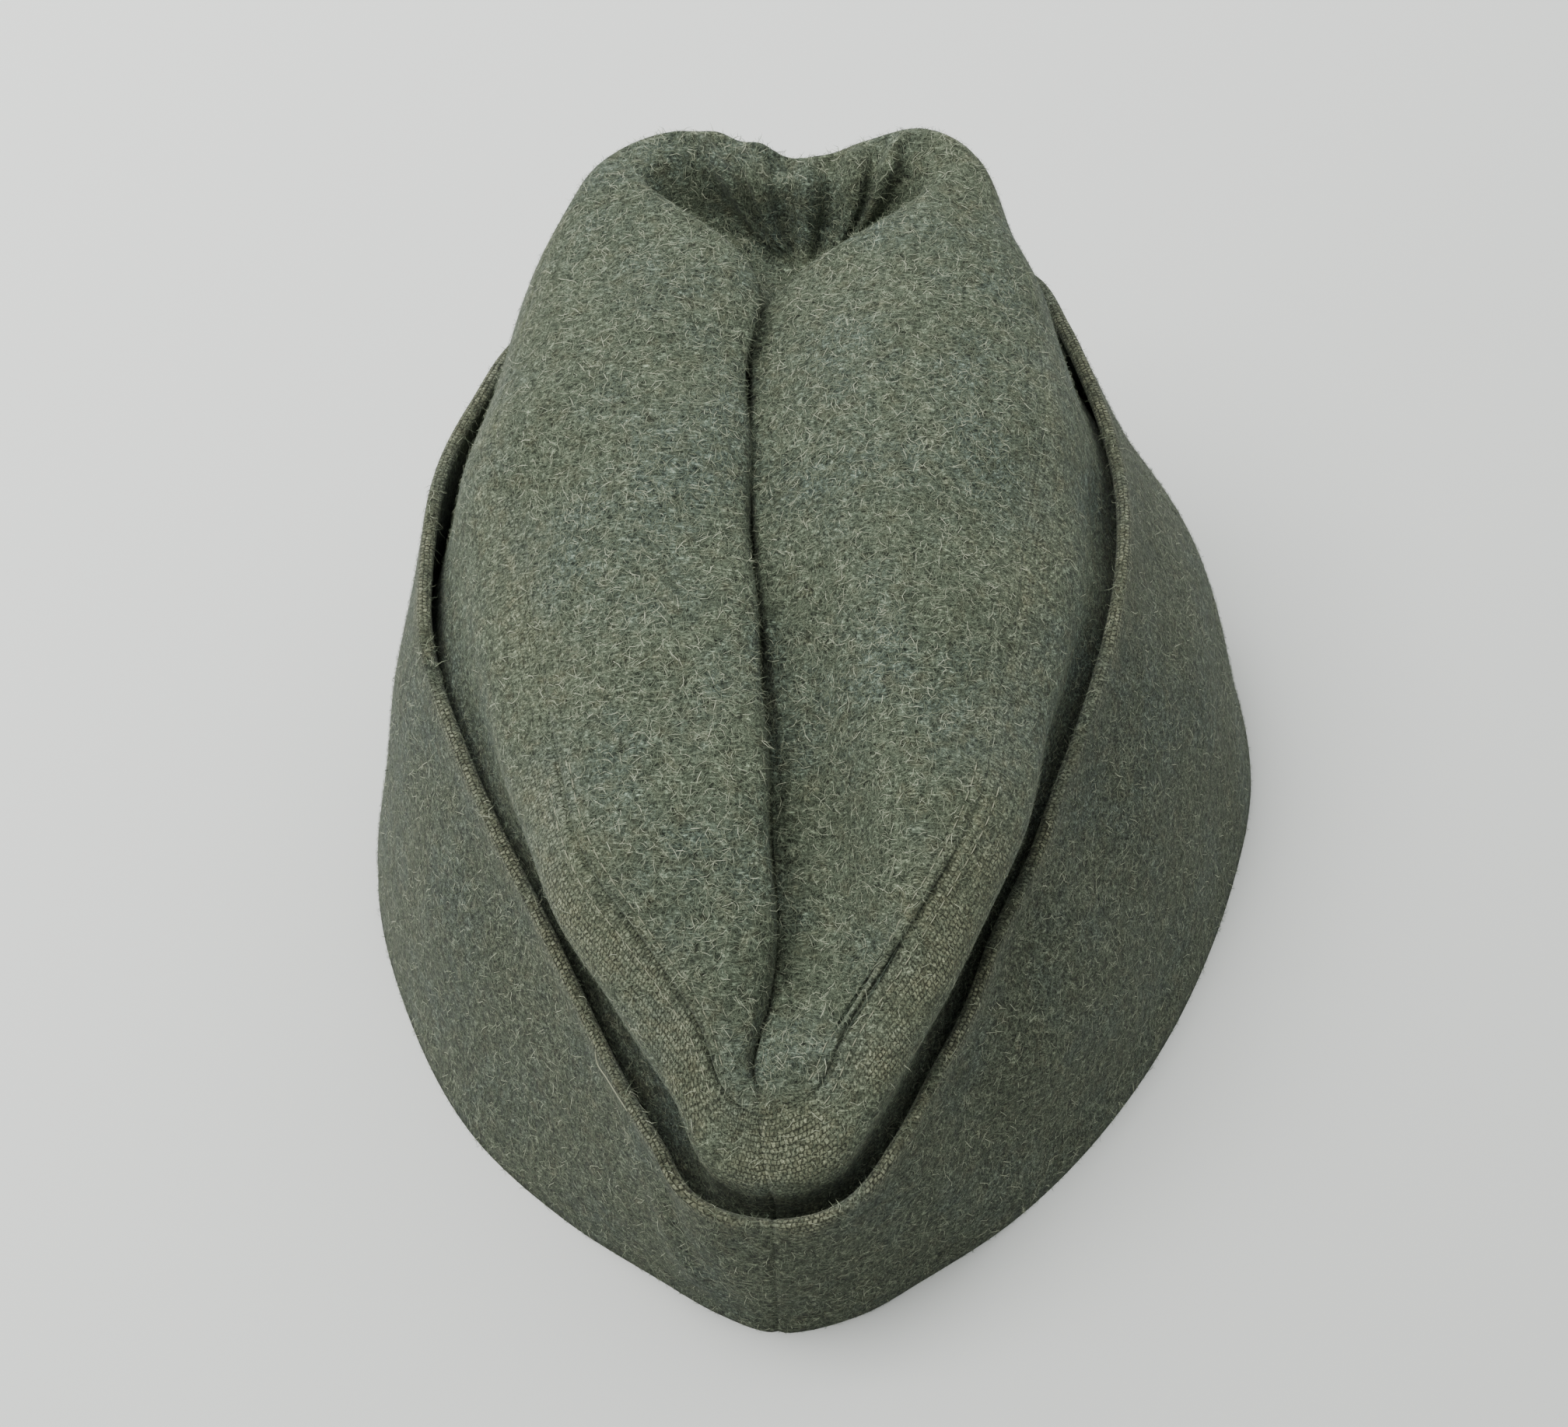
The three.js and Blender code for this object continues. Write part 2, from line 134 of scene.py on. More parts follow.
LIP = table(
    "along right left up slack hang",
    (-0.431, -0.016, 0.038, 0.479, 0.40, 0.62),
    (-0.413, -0.005, 0.049, 0.517, 0.25, 0.62),
    (-0.371, 0.027, 0.022, 0.588, 0.20, 0.62),
    (-0.318, 0.042, 0.007, 0.664, 0.20, 0.62),
    (-0.238, 0.029, 0.024, 0.756, 0.20, 0.62),
    (-0.122, 0.004, 0.044, 0.840, 0.20, 0.62),
    (0.011, -0.022, 0.071, 0.908, 0.20, 0.62),
    (0.131, -0.031, 0.071, 0.945, 0.20, 0.62),
    (0.238, 0.005, 0.021, 0.962, 0.35, 0.60),
    (0.304, 0.148, 0.132, 0.983, 0.75, 0.40),
    (0.376, 0.302, 0.313, 0.992, 0.80, 0.30),
    (0.394, 0.262, 0.230, 0.983, 0.72, 0.32),
    (0.380, 0.022, -0.022, 0.950, 0.66, 0.30),
)
VALLEY = table(
    "along right up",
    (-0.422, -0.033, 0.471),
    (-0.404, -0.033, 0.487),
    (-0.364, -0.005, 0.521),
    (-0.313, 0.011, 0.571),
    (-0.233, -0.005, 0.647),
    (-0.118, -0.027, 0.723),
    (0.016, -0.055, 0.782),
    (0.136, -0.060, 0.815),
    (0.238, -0.038, 0.824),
    (0.291, 0.016, 0.815),
    (0.324, 0.027, 0.807),
    (0.342, 0.035, 0.803),
    (0.351, 0.035, 0.807),
)
TURN_UP = table(
    "rise_right rise_left stand_right stand_left",
    (0.00, 0.00, 1.7, 1.7),
    (0.04, 0.04, 1.7, 2.0),
    (0.17, 0.17, 1.4, 2.3),
    (0.33, 0.33, 1.2, 2.0),
    (0.57, 0.57, 1.0, 1.4),
    (0.77, 0.77, 1.0, 1.0),
    (0.95, 0.95, 1.0, 1.0),
    (1.00, 1.00, 1.0, 1.0),
    (0.99, 0.97, 1.0, 1.0),
    (0.96, 0.88, 0.9, 0.9),
    (0.90, 0.53, 0.7, 0.7),
    (0.17, 0.17, 0.5, 0.5),
    (0.00, 0.00, 0.5, 0.5),
)

# Gathers on the front wall of the hollow. A turn counts sections on round the whole cap, from
# the back centre (0) past the wearer's right (6) and the front (12) to the left (18).
PLEATS = table(
    "turn push lift",
    (11.24, 0.8, 0.0),
    (11.56, 0.7, 0.2),
    (11.90, 0.5, 0.2),
    (12.30, 1.0, 1.1),
    (12.62, 0.9, 0.7),
)

HALF = len(RIM["along"]) - 1
WHOLE = 2 * HALF

# Places on a rib of the crown, counted in its control points
EDGE_STOP = 2.0
RIDGE_STOP = 4.0
SEAM_END = 4.5
WALL_START = 6.4
VALLEY_STOP = 9.0


def hermite(points, knots, t):
    """Non-uniform Catmull-Rom segment from points[1] to points[2]."""
    x0, x1, x2, x3 = points
    d0, d1, d2 = knots
    t1 = ((x1 - x0) / d0 - (x2 - x0) / (d0 + d1) + (x2 - x1) / d1) * d1
    t2 = ((x2 - x1) / d1 - (x3 - x1) / (d1 + d2) + (x3 - x2) / d2) * d1
    cube = 2 * x1 - 2 * x2 + t1 + t2
    square = -3 * x1 + 3 * x2 - 2 * t1 - t2
    return x1 + t * (t1 + t * (square + t * cube))


def spline(points, where, closed=False, even=False):
    """Smooth line through points (first axis), read at the places in where, counted in points."""
    count = len(points)
    where = np.asarray(where, float)
    if closed:
        where = np.mod(where, count)
    segment = np.minimum(np.floor(where).astype(int), count - 1 if closed else count - 2)
    result = np.zeros((len(where),) + points.shape[1:])
    for s in np.unique(segment):
        ids = [s - 1, s, s + 1, s + 2]
        if closed:
            four = [points[i % count] for i in ids]
        else:
            four = [points[min(max(i, 0), count - 1)] for i in ids]
            if s == 0:
                four[0] = 2 * points[0] - points[1]
            if s == count - 2:
                four[3] = 2 * points[-1] - points[-2]
        if even:
            knots = [1.0, 1.0, 1.0]
        else:
            gaps = [np.linalg.norm(four[i + 1] - four[i], axis=-1, keepdims=True) for i in range(3)]
            knots = [np.maximum(np.sqrt(g), 1e-4) for g in gaps]
        pick = segment == s
        t = (where[pick] - s).reshape((-1,) + (1,) * (points.ndim - 1))
        result[pick] = hermite(four, knots, t)
    return result


def both_sides(right, left):
    """Rows from the back up the wearer's right side, then back down the left."""
    return np.concatenate([right, left[1:HALF][::-1]])


def line_round(rows, length, width, height):
    """A closed line round the cap through the sections of a table."""
    up = rows.get("up", np.zeros(HALF + 1)) * height
    right = np.stack([-rows["right"] * width / 2, -rows["along"] * length, up], 1)
    left = np.stack([rows["left"] * width / 2, -rows["along"] * length, up], 1)
    points = both_sides(right, left)
    return lambda turns: spline(points, turns, closed=True)


def value_round(right, left):
    """A smooth value round the cap."""
    values = both_sides(right, left)[:, None]
    return lambda turns: spline(values, turns, closed=True, even=True)[:, 0]


CROWN_LENGTH = CAP_LENGTH - 2 * (TURN_UP_CLOTH + LAYER_GAP)
CROWN_WIDTH = CAP_WIDTH - 2 * (TURN_UP_CLOTH + LAYER_GAP)
rim_line = line_round(RIM, CROWN_LENGTH, CROWN_WIDTH, 0)
edge_line = line_round(EDGE, CAP_LENGTH, CAP_WIDTH, 0)
ridge_line = line_round(RIDGE, CAP_LENGTH, CAP_WIDTH, CROWN_HEIGHT)
lip_line = line_round(LIP, CAP_LENGTH, CAP_WIDTH, CROWN_HEIGHT)
valley_points = np.stack(
    [-VALLEY["right"] * CAP_WIDTH / 2, -VALLEY["along"] * CAP_LENGTH, VALLEY["up"] * CROWN_HEIGHT], 1
)
side_bulge = value_round(EDGE["bulge_right"], EDGE["bulge_left"])
flank_stand = value_round(EDGE["flank"], EDGE["flank"])
lip_slack = value_round(LIP["slack"], LIP["slack"])
lip_hang = value_round(LIP["hang"], LIP["hang"])
turn_up_rise = value_round(TURN_UP["rise_right"], TURN_UP["rise_left"])
turn_up_stand = value_round(TURN_UP["stand_right"], TURN_UP["stand_left"])


def unit(vectors):
    """Vectors of length one."""
    return vectors / np.maximum(np.linalg.norm(vectors, axis=-1, keepdims=True), 1e-9)


def blend(a, b, share):
    """Goes from a to b."""
    return a + (b - a) * share


def bell(distance, width):
    """A soft bump of height one."""
    return np.exp(-((distance / width) ** 2))


def fade(low, high, value):
    """Goes smoothly from 0 at low to 1 at high."""
    t = np.clip((value - low) / (high - low), 0, 1)
    return t * t * (3 - 2 * t)


def rib_turns():
    """Where the ribs stand round the cap, closed by a last rib on the first."""
    turns = []
    for section in range(HALF):
        steps = int(RIM["steps"][section]) * RIBS_PER_STEP
        turns += [section + s / steps for s in range(steps)]
    turns.append(float(HALF))
    back = [WHOLE - t for t in turns[:-1]][::-1]
    return np.array(turns + back)


def edge_height(turns):
    """The height of the turn-up's edge."""
    from_back = np.minimum(turns, WHOLE - turns)
    centre = np.where(from_back < HALF / 2, TURN_UP_BACK, TURN_UP_FRONT)
    return blend(centre, TURN_UP_SIDE, turn_up_rise(turns))


def pleat_sum(turns, column):
    """The push or the lift of the gathers, in millimetres."""
    pairs = zip(PLEATS["turn"], PLEATS[column])
    return PLEAT_HEIGHT * sum(size * bell(turns - turn, PLEAT_SECTIONS) for turn, size in pairs)


def crown_surface(turns, stops):
    """The crown's outer surface, in millimetres: ribs, rows, xyz."""
    up = np.array([0, 0, 1.0])
    rim = rim_line(turns)
    edge = edge_line(turns)
    edge[:, 2] = edge_height(turns) - FOLD_RISE
    ridge = ridge_line(turns)
    lip = lip_line(turns)
    valley = spline(valley_points, np.minimum(turns, WHOLE - turns))
    step = 0.01
    outward = unit(np.cross(rim_line(turns + step) - rim_line(turns - step), up))
    side = (rim + edge) / 2 + outward * side_bulge(turns)[:, None] * SIDE_BULGE
    flank = (edge + ridge) / 2 + outward * flank_stand(turns)[:, None] * FLANK_BULGE
    rise = LOBE_RISE_SHARE * np.linalg.norm(ridge - lip, axis=1)
    sag = np.where((turns > 0) & (turns < HALF), LOBE_SAG * np.minimum(1, rise / LOBE_SAG), 0)
    near_lobe = blend(ridge, lip, 1 / 3) + rise[:, None] * up
    far_lobe = blend(ridge, lip, 2 / 3) + (rise - sag / 3)[:, None] * up
    wall = blend(valley, lip, lip_slack(turns)[:, None])
    wall[:, 2] = blend(valley[:, 2], lip[:, 2], lip_hang(turns))
    sunk_lip = lip - sag[:, None] * up
    control = np.stack([rim, side, edge, flank, ridge, near_lobe, far_lobe, sunk_lip, wall, valley])
    surface = spline(control, stops).transpose(1, 0, 2)

    to_valley = (VALLEY_STOP - stops) / (VALLEY_STOP - RIDGE_STOP)
    down = np.where(stops > RIDGE_STOP, np.sin(np.pi * to_valley), 0)
    down = down * (1 - fade(*PLEAT_END, stops))
    surface[:, :, 1] += pleat_sum(turns, "push")[:, None] * down
    surface[:, :, 2] += pleat_sum(turns, "lift")[:, None] * bell(stops - RIDGE_STOP, PLEAT_REACH)
    return surface


def grid_normals(surface):
    """Outward normals of a grid whose ribs go round the cap and whose rows go up it."""
    ahead = np.concatenate([surface[1:], surface[1:2]])
    behind = np.concatenate([surface[-2:-1], surface[:-1]])
    up_way = np.gradient(surface, axis=1)
    return unit(np.cross(ahead - behind, up_way))


# Waves of the soft noise: how many, how fast against the asked size, and where they may start
NOISE_WAVES = 9
NOISE_PACE = (0.7, 1.4)
NOISE_START = 6.3


def soft_noise(points, size, seed):
    """A smooth random height for each point, made of a few waves about size millimetres long."""
    rng = np.random.default_rng(seed)
    total = np.zeros(points.shape[:-1])
    for _ in range(NOISE_WAVES):
        way = unit(rng.normal(size=3))
        pace = rng.uniform(*NOISE_PACE)
        total += np.sin(points @ way * (2 * np.pi / size) * pace + rng.uniform(0, NOISE_START))
    return total / math.sqrt(NOISE_WAVES)


def grid_lengths(surface):
    """The distance along each rib, row by row."""
    steps = np.linalg.norm(np.diff(surface, axis=1), axis=2)
    return np.concatenate([np.zeros((len(surface), 1)), np.cumsum(steps, axis=1)], axis=1)


TURNS = rib_turns()
LAST = len(TURNS) - 1
MIDDLE = LAST // 2
SIDES = {"right": slice(0, MIDDLE + 1), "left": slice(MIDDLE, LAST + 1)}
SIDE_STOPS = np.linspace(0, RIDGE_STOP, SIDE_ROWS)
TOP_STOPS = np.concatenate([
    np.linspace(RIDGE_STOP, SEAM_END, SEAM_ROWS)[:-1],
    np.linspace(SEAM_END, WALL_START, LOBE_ROWS)[:-1],
    np.linspace(WALL_START, VALLEY_STOP, WALL_ROWS),
])
STOPS = np.concatenate([SIDE_STOPS[:-1], TOP_STOPS])
RIDGE_ROW = SIDE_ROWS - 1
FROM_BACK = np.minimum(TURNS, WHOLE - TURNS)

# Sizes of the seams and their stitching, in millimetres, and where the seams sink into the nap
SEAM_DEPTH = 1.1
SEAM_WIDTH = 0.6
SEAM_PUFF = 0.25
PUFF_OFFSET = 1.3
PUFF_WIDTH = 0.9
ROW_OFFSET = 2.6
ROW_DEPTH = 0.35
ROW_WIDTH = 0.5
SEAM_SHOWN = {"right": (0.6, 1.6, 3.4, 4.8), "left": (-0.3, 0.5, 3.9, 5.2)}
CENTRE_SEAM = {"depth": 0.45, "width": 0.7}

# Slow waves of the cloth, and how far from the rim and from the crease they fade out
WAVE_HEIGHT = 0.45
WAVE_SIZE = 34.0
CALM_RIM = 6.0
CALM_CREASE = 5.0
CROWN_WAVE_SEED = 3
TURN_UP_WAVE_SEED = 8

# Sharper folds of the gathers: the crest's turn at the wall's top and at its foot, the height in
# millimetres (a valley is negative) and the width in sections
GATHERS = table(
    "top foot height width",
    (11.16, 11.31, 1.8, 0.090),
    (11.36, 11.42, -0.9, 0.075),
    (11.57, 11.50, 1.9, 0.080),
    (11.75, 11.76, -1.3, 0.070),
    (11.93, 11.93, 1.3, 0.090),
    (12.17, 12.19, -1.5, 0.080),
    (12.47, 12.35, 1.9, 0.085),
    (12.62, 12.44, -1.0, 0.060),
    (12.80, 12.52, 2.3, 0.090),
    (13.05, 12.80, -0.8, 0.100),
)
GATHER_ROWS = {"top": (4.1, 5.2), "foot": (8.0, 8.8)}

# The side panel rolls over between the seam and the turn-up: height in millimetres at the back
# and at the front
ROLL = {"back": 4.6, "front": 0.4, "turns": (3.5, 8.0), "centre": 12.0, "width": 8.0}

# At the back the right lobe slopes off towards the crease, and the left one stands over it
RIGHT_SLOPE = {"way": (-0.40, 0, -0.92), "size": 10.0, "centre": 16.0, "width": 13.0}
LEFT_STAND = {"way": (-0.5, 0, 0.87), "size": 2.2, "centre": 15.0, "width": 9.0}
SLOPE_FOOT = 7.0
SLOPE_HEAD = 7.0
SLOPE_TURNS = (1.1, 2.7, 4.0, 6.4)

# The front end of the crease and the right lip lean to the wearer's left, in millimetres
CREASE_SWAY = {"shift": 3.2, "turn": 7.9, "width": 0.8, "stops": (5.0, 6.8)}
RIGHT_LIP_SWAY = {"shift": 3.6, "turn": 8.65, "width": 0.4, "stops": (5.0, 6.8)}
SWAY_END = (7.6, 8.9)

# The lips of the front hollow are rounded off
ROUNDED_LIPS = {"turns": (8.7, 9.8), "stops": (4.6, 5.6, 8.0, 8.8), "rounds": 60}

# The cloth of the tight front edge is drawn thin, so that its inner face doesn't fold over
FRONT_EDGE = {"thinned": 0.65, "reach": 5.0, "turns": (9.8, 11.0)}


def gather_relief():
    """The height of the gathers' sharper folds on the hollow's wall."""
    height = np.zeros((len(TURNS), len(STOPS)))
    down = fade(GATHER_ROWS["top"][0], GATHER_ROWS["foot"][0], STOPS)
    shown = fade(*GATHER_ROWS["top"], STOPS) * (1 - fade(*GATHER_ROWS["foot"], STOPS))
    for top, foot, size, width in zip(*GATHERS.values()):
        crest = blend(top, foot, down)
        height += size * bell(TURNS[:, None] - crest, width) * shown
    return height


def relaxed(surface, share, rounds):
    """The surface with each point drawn towards the middle of its neighbours on the rib."""
    share = share[:, 1:-1, None] / 2
    surface = surface.copy()
    for _ in range(rounds):
        middle = (surface[:, 2:] + surface[:, :-2]) / 2
        surface[:, 1:-1] += (middle - surface[:, 1:-1]) * share
    return surface


def shown_between(start, full, end, gone, value):
    """Rises from start to full and falls again from end to gone."""
    return fade(start, full, value) * (1 - fade(end, gone, value))


def side_roll(from_ridge):
    """How far the side panel rolls out between the turn-up's edge and the seam."""
    size = blend(ROLL["back"], ROLL["front"], fade(*ROLL["turns"], FROM_BACK))[:, None]
    return size * bell(from_ridge + ROLL["centre"], ROLL["width"])


def sloped(surface):
    """The surface with its lobes at different heights beside the crease, at the back."""
    along = grid_lengths(surface)
    to_crease = along[:, -1][:, None] - along
    from_seam = along - along[:, RIDGE_ROW][:, None]
    shown = shown_between(*SLOPE_TURNS, FROM_BACK)[:, None]
    shown = shown * fade(0, SLOPE_FOOT, to_crease) * fade(0, SLOPE_HEAD, from_seam)
    for form, lobe in ((RIGHT_SLOPE, TURNS < HALF), (LEFT_STAND, TURNS > HALF)):
        size = form["size"] * bell(to_crease - form["centre"], form["width"]) * shown * lobe[:, None]
        surface = surface + size[:, :, None] * np.array(form["way"])
    return surface


def swayed(surface):
    """The surface with the crease's front end and the right lip leaning to the wearer's left."""
    shift = CREASE_SWAY["shift"] * bell(FROM_BACK - CREASE_SWAY["turn"], CREASE_SWAY["width"])
    shift = shift[:, None] * fade(*CREASE_SWAY["stops"], STOPS)
    lip = RIGHT_LIP_SWAY["shift"] * bell(TURNS - RIGHT_LIP_SWAY["turn"], RIGHT_LIP_SWAY["width"])
    shift += lip[:, None] * fade(*RIGHT_LIP_SWAY["stops"], STOPS) * (1 - fade(*SWAY_END, STOPS))
    surface = surface.copy()
    surface[:, :, 0] += shift
    return surface


def relieved_crown():
    """The crown's outer surface with its seams sunk and its cloth slightly uneven."""
    base = crown_surface(TURNS, STOPS)
    lips = fade(*ROUNDED_LIPS["turns"], FROM_BACK)[:, None]
    lips = lips * shown_between(*ROUNDED_LIPS["stops"], STOPS)
    base = swayed(sloped(relaxed(base, lips, ROUNDED_LIPS["rounds"])))
    normals = grid_normals(base)
    normals[:, 0, 2] = 0
    along = grid_lengths(base)
    from_ridge = along - along[:, RIDGE_ROW][:, None]
    right_seam = shown_between(*SEAM_SHOWN["right"], FROM_BACK)
    left_seam = shown_between(*SEAM_SHOWN["left"], FROM_BACK)
    # The left seam's start fades out past the back centre, on the right
    past_centre = fade(*SEAM_SHOWN["left"][:2], -FROM_BACK)
    seam = np.where(TURNS < HALF, np.maximum(right_seam, past_centre), left_seam)[:, None]
    height = -SEAM_DEPTH * bell(from_ridge, SEAM_WIDTH) * seam
    for way in (-1, 1):
        height += SEAM_PUFF * bell(from_ridge - way * PUFF_OFFSET, PUFF_WIDTH) * seam
        height -= ROW_DEPTH * bell(from_ridge - way * ROW_OFFSET, ROW_WIDTH) * seam
    side_rows = from_ridge <= 0
    height -= centre_groove[:, None] * side_rows
    height += gather_relief() + side_roll(from_ridge)
    calm = fade(0, CALM_RIM, along) * fade(0, CALM_CREASE, along[:, -1][:, None] - along)
    height += WAVE_HEIGHT * soft_noise(base, WAVE_SIZE, CROWN_WAVE_SEED) * calm
    return base + normals * height[:, :, None], from_ridge


edge_steps = np.linalg.norm(np.diff(edge_line(TURNS), axis=0), axis=1)
ROUND = np.concatenate([[0], np.cumsum(edge_steps)])
from_centre = np.abs(ROUND[:, None] - ROUND[[0, MIDDLE, LAST]]).min(1)
centre_groove = CENTRE_SEAM["depth"] * bell(from_centre, CENTRE_SEAM["width"])

crown, from_ridge = relieved_crown()
# The two lobes share the bottom of the crease
crown[:, -1] = (crown[:, -1] + crown[::-1, -1]) / 2
crown_normals = grid_normals(crown)
crown_normals[:, -1] = unit(crown_normals[:, -1] + crown_normals[::-1, -1])
crown_normals[:, 0, 2] = 0
crown_normals[:, 0] = unit(crown_normals[:, 0])
front_edge = bell(from_ridge, FRONT_EDGE["reach"]) * fade(*FRONT_EDGE["turns"], FROM_BACK)[:, None]
thickness = CROWN_CLOTH * (1 - FRONT_EDGE["thinned"] * front_edge)
thickness[:, -1] = (thickness[:, -1] + thickness[::-1, -1]) / 2
crown_inner = crown - crown_normals * thickness[:, :, None]

# Soft swellings and hollows of the turn-up: height in millimetres, spreads in sections and shares
SWELLS = (
    {"turn": 4.2, "level": 0.55, "height": 2.5, "wide": 1.1, "tall": 0.35},
    {"turn": 21.2, "level": 0.50, "height": 1.75, "wide": 0.8, "tall": 0.35},
)
SWELL_FOOT = 0.2

# Where the turn-up lies close to the crown, at the wearer's front right: less of its stand
HUG = {"turn": 8.35, "share": 0.65, "width": 0.8}

# Soft folds that run down the turn-up: the crest's turn at its top edge and at the rim, the
# height in millimetres, the width in sections and the levels between which it shows
SOFT_FOLDS = table(
    "top foot height width low high",
    (21.55, 23.05, 0.9, 0.30, 0.25, 0.75),
    (22.05, 23.55, -0.5, 0.30, 0.25, 0.75),
    (2.90, 3.60, -0.7, 0.35, 0.15, 0.85),
    (2.10, 2.70, 0.6, 0.25, 0.20, 0.90),
)
# Shares of the turn-up's height over which a fold fades in and out, and the waves fade in
FOLD_SOFT = 0.15
FOLD_END = 0.10
CALM_LEVEL = 0.15


def turn_up_profile():
    """Closed rounds of the turn-up: up the outer face, over the fold and down the inner one."""
    levels = np.linspace(0, 1, TURN_UP_ROWS)
    base = crown_surface(TURNS, levels * EDGE_STOP)
    normals = grid_normals(base)
    normals[:, 0, 2] = 0
    normals[:, 0] = unit(normals[:, 0])
    lean = turn_up_stand(TURNS) * (1 - HUG["share"] * bell(TURNS - HUG["turn"], HUG["width"]))
    stand = LAYER_GAP + lean[:, None] * TURN_UP_STAND * levels**2
    for swell in SWELLS:
        away = ((TURNS[:, None] - swell["turn"]) / swell["wide"]) ** 2
        away = away + ((levels - swell["level"]) / swell["tall"]) ** 2
        stand = stand + swell["height"] * np.exp(-away) * np.minimum(1, levels / SWELL_FOOT)
    for top, foot, height, width, low, high in zip(*SOFT_FOLDS.values()):
        ends = (low - FOLD_SOFT, low + FOLD_SOFT, high - FOLD_SOFT, high + FOLD_END)
        crest = blend(foot, top, levels)
        stand = stand + height * bell(TURNS[:, None] - crest, width) * shown_between(*ends, levels)
    middle = base + normals * (stand + TURN_UP_CLOTH / 2)[:, :, None]
    wave = WAVE_HEIGHT * soft_noise(middle, WAVE_SIZE, TURN_UP_WAVE_SEED)
    middle += normals * (wave * fade(0, CALM_LEVEL, levels))[:, :, None]
    half_cloth = normals * (TURN_UP_CLOTH / 2 - centre_groove)[:, None, None]
    top = middle[:, -1]
    rise = unit(middle[:, -1] - middle[:, -3]) * FOLD_RISE
    across = half_cloth[:, -1]
    angles = np.linspace(0, np.pi, FOLD_ROWS + 2)[1:-1]
    fold = np.stack([top + across * np.cos(a) + rise * np.sin(a) for a in angles], 1)
    return np.concatenate([middle + half_cloth, fold, (middle - half_cloth)[:, ::-1]], axis=1)


turn_up = turn_up_profile()

# The origin lies under the middle of the cap
low = np.minimum(crown.min((0, 1)), turn_up.min((0, 1)))
high = np.maximum(crown.max((0, 1)), turn_up.max((0, 1)))
middle_of_cap = (low + high) / 2
SHIFT = np.array([-middle_of_cap[0], -middle_of_cap[1], 0])


def linked(name, data):
    """A new object in the scene."""
    obj = bpy.data.objects.new(name, data)
    bpy.context.scene.collection.objects.link(obj)
    return obj


def mesh_object(name, points, faces, uv=None, wear=None, soft_faces=None):
    """A mesh piece from millimetre points, with its cloth coordinates and its worn places."""
    mesh = bpy.data.meshes.new(name)
    mesh.from_pydata(((points + SHIFT) * MM).tolist(), [], faces.tolist())
    if uv is not None:
        layer = mesh.uv_layers.new(name="cloth")
        corners = np.zeros(len(mesh.loops), np.int32)
        mesh.loops.foreach_get("vertex_index", corners)
        layer.data.foreach_set("uv", uv[corners].astype(np.float32).ravel())
    if wear is not None:
        layer = mesh.attributes.new("wear", "FLOAT", "POINT")
        layer.data.foreach_set("value", wear.astype(np.float32))
    soft_faces = len(faces) if soft_faces is None else soft_faces
    mesh.polygons.foreach_set("use_smooth", np.arange(len(faces)) < soft_faces)
    mesh.update()
    return linked(name, mesh)


def grid_faces(ribs, rows, start=0, flip=False):
    """Quads between neighbouring ribs and rows."""
    rib, row = np.meshgrid(np.arange(ribs - 1), np.arange(rows - 1), indexing="ij")
    a = start + rib * rows + row
    quads = np.stack([a, a + rows, a + rows + 1, a + 1], -1).reshape(-1, 4)
    return quads[:, ::-1] if flip else quads


def wall_faces(outer_ids, inner_ids, flip=False):
    """Quads between an edge of the outer face and the same edge of the inner one."""
    quads = np.stack([outer_ids[:-1], outer_ids[1:], inner_ids[1:], inner_ids[:-1]], 1)
    return quads[:, ::-1] if flip else quads


def weld(obj):
    """Joins points that lie on each other."""
    work = bmesh.new()
    work.from_mesh(obj.data)
    bmesh.ops.remove_doubles(work, verts=work.verts, dist=1e-7)
    bmesh.ops.recalc_face_normals(work, faces=work.faces)
    work.to_mesh(obj.data)
    work.free()
    obj.data.update()


def cloth_panel(name, outer, inner, round_mm, rise_mm, wear, open_ends, top_wall=True):
    """A closed sheet of cloth between an outer and an inner grid."""
    ribs, rows = outer.shape[:2]
    count = ribs * rows
    ids = np.arange(count).reshape(ribs, rows)
    faces = [grid_faces(ribs, rows), grid_faces(ribs, rows, count, flip=True)]
    soft_faces = len(faces[0]) * 2
    faces.append(wall_faces(ids[:, 0], ids[:, 0] + count, flip=True))
    if top_wall:
        faces.append(wall_faces(ids[:, -1], ids[:, -1] + count))
    if open_ends:
        faces.append(wall_faces(ids[0], ids[0] + count))
        faces.append(wall_faces(ids[-1], ids[-1] + count, flip=True))
    uv = np.stack([round_mm, rise_mm], -1).reshape(-1, 2)
    points = np.concatenate([outer.reshape(-1, 3), inner.reshape(-1, 3)])
    wears = np.concatenate([wear.ravel(), np.zeros(count)])
    obj = mesh_object(name, points, np.concatenate(faces), np.concatenate([uv, uv]), wears, soft_faces)
    weld(obj)
    return obj


# Where the nap is worn off: the place below the ridge seam and its width in millimetres, the
# strength, and the turns between which it fades. The ridge is worn most round one turn.
RIDGE_WEAR = {"below": 3.0, "width": 8.0, "least": 0.4, "more": 0.4, "turn": 3.0, "spread": 2.2}
BAND_WEAR = {"below": 8.0, "width": 9.0, "most": 0.95, "turns": (6.0, 3.5)}
BACK_WEAR = {"below": 8.0, "width": 11.0, "most": 1.0, "turns": (3.2, 0.8)}
FOLD_WEAR = {"below": 0.8, "width": 3.2}
CROWN_PATCHES = {"middle": 0.75, "swing": 0.25, "size": 16.0, "seed": 21, "most": 0.85}
FOLD_PATCHES = {"middle": 0.80, "swing": 0.35, "size": 14.0, "seed": 31, "most": 0.90}


def patchy(worn, points, patches):
    """The wear in uneven patches."""
    share = patches["middle"] + patches["swing"] * soft_noise(points, patches["size"], patches["seed"])
    return np.clip(worn * share, 0, patches["most"])


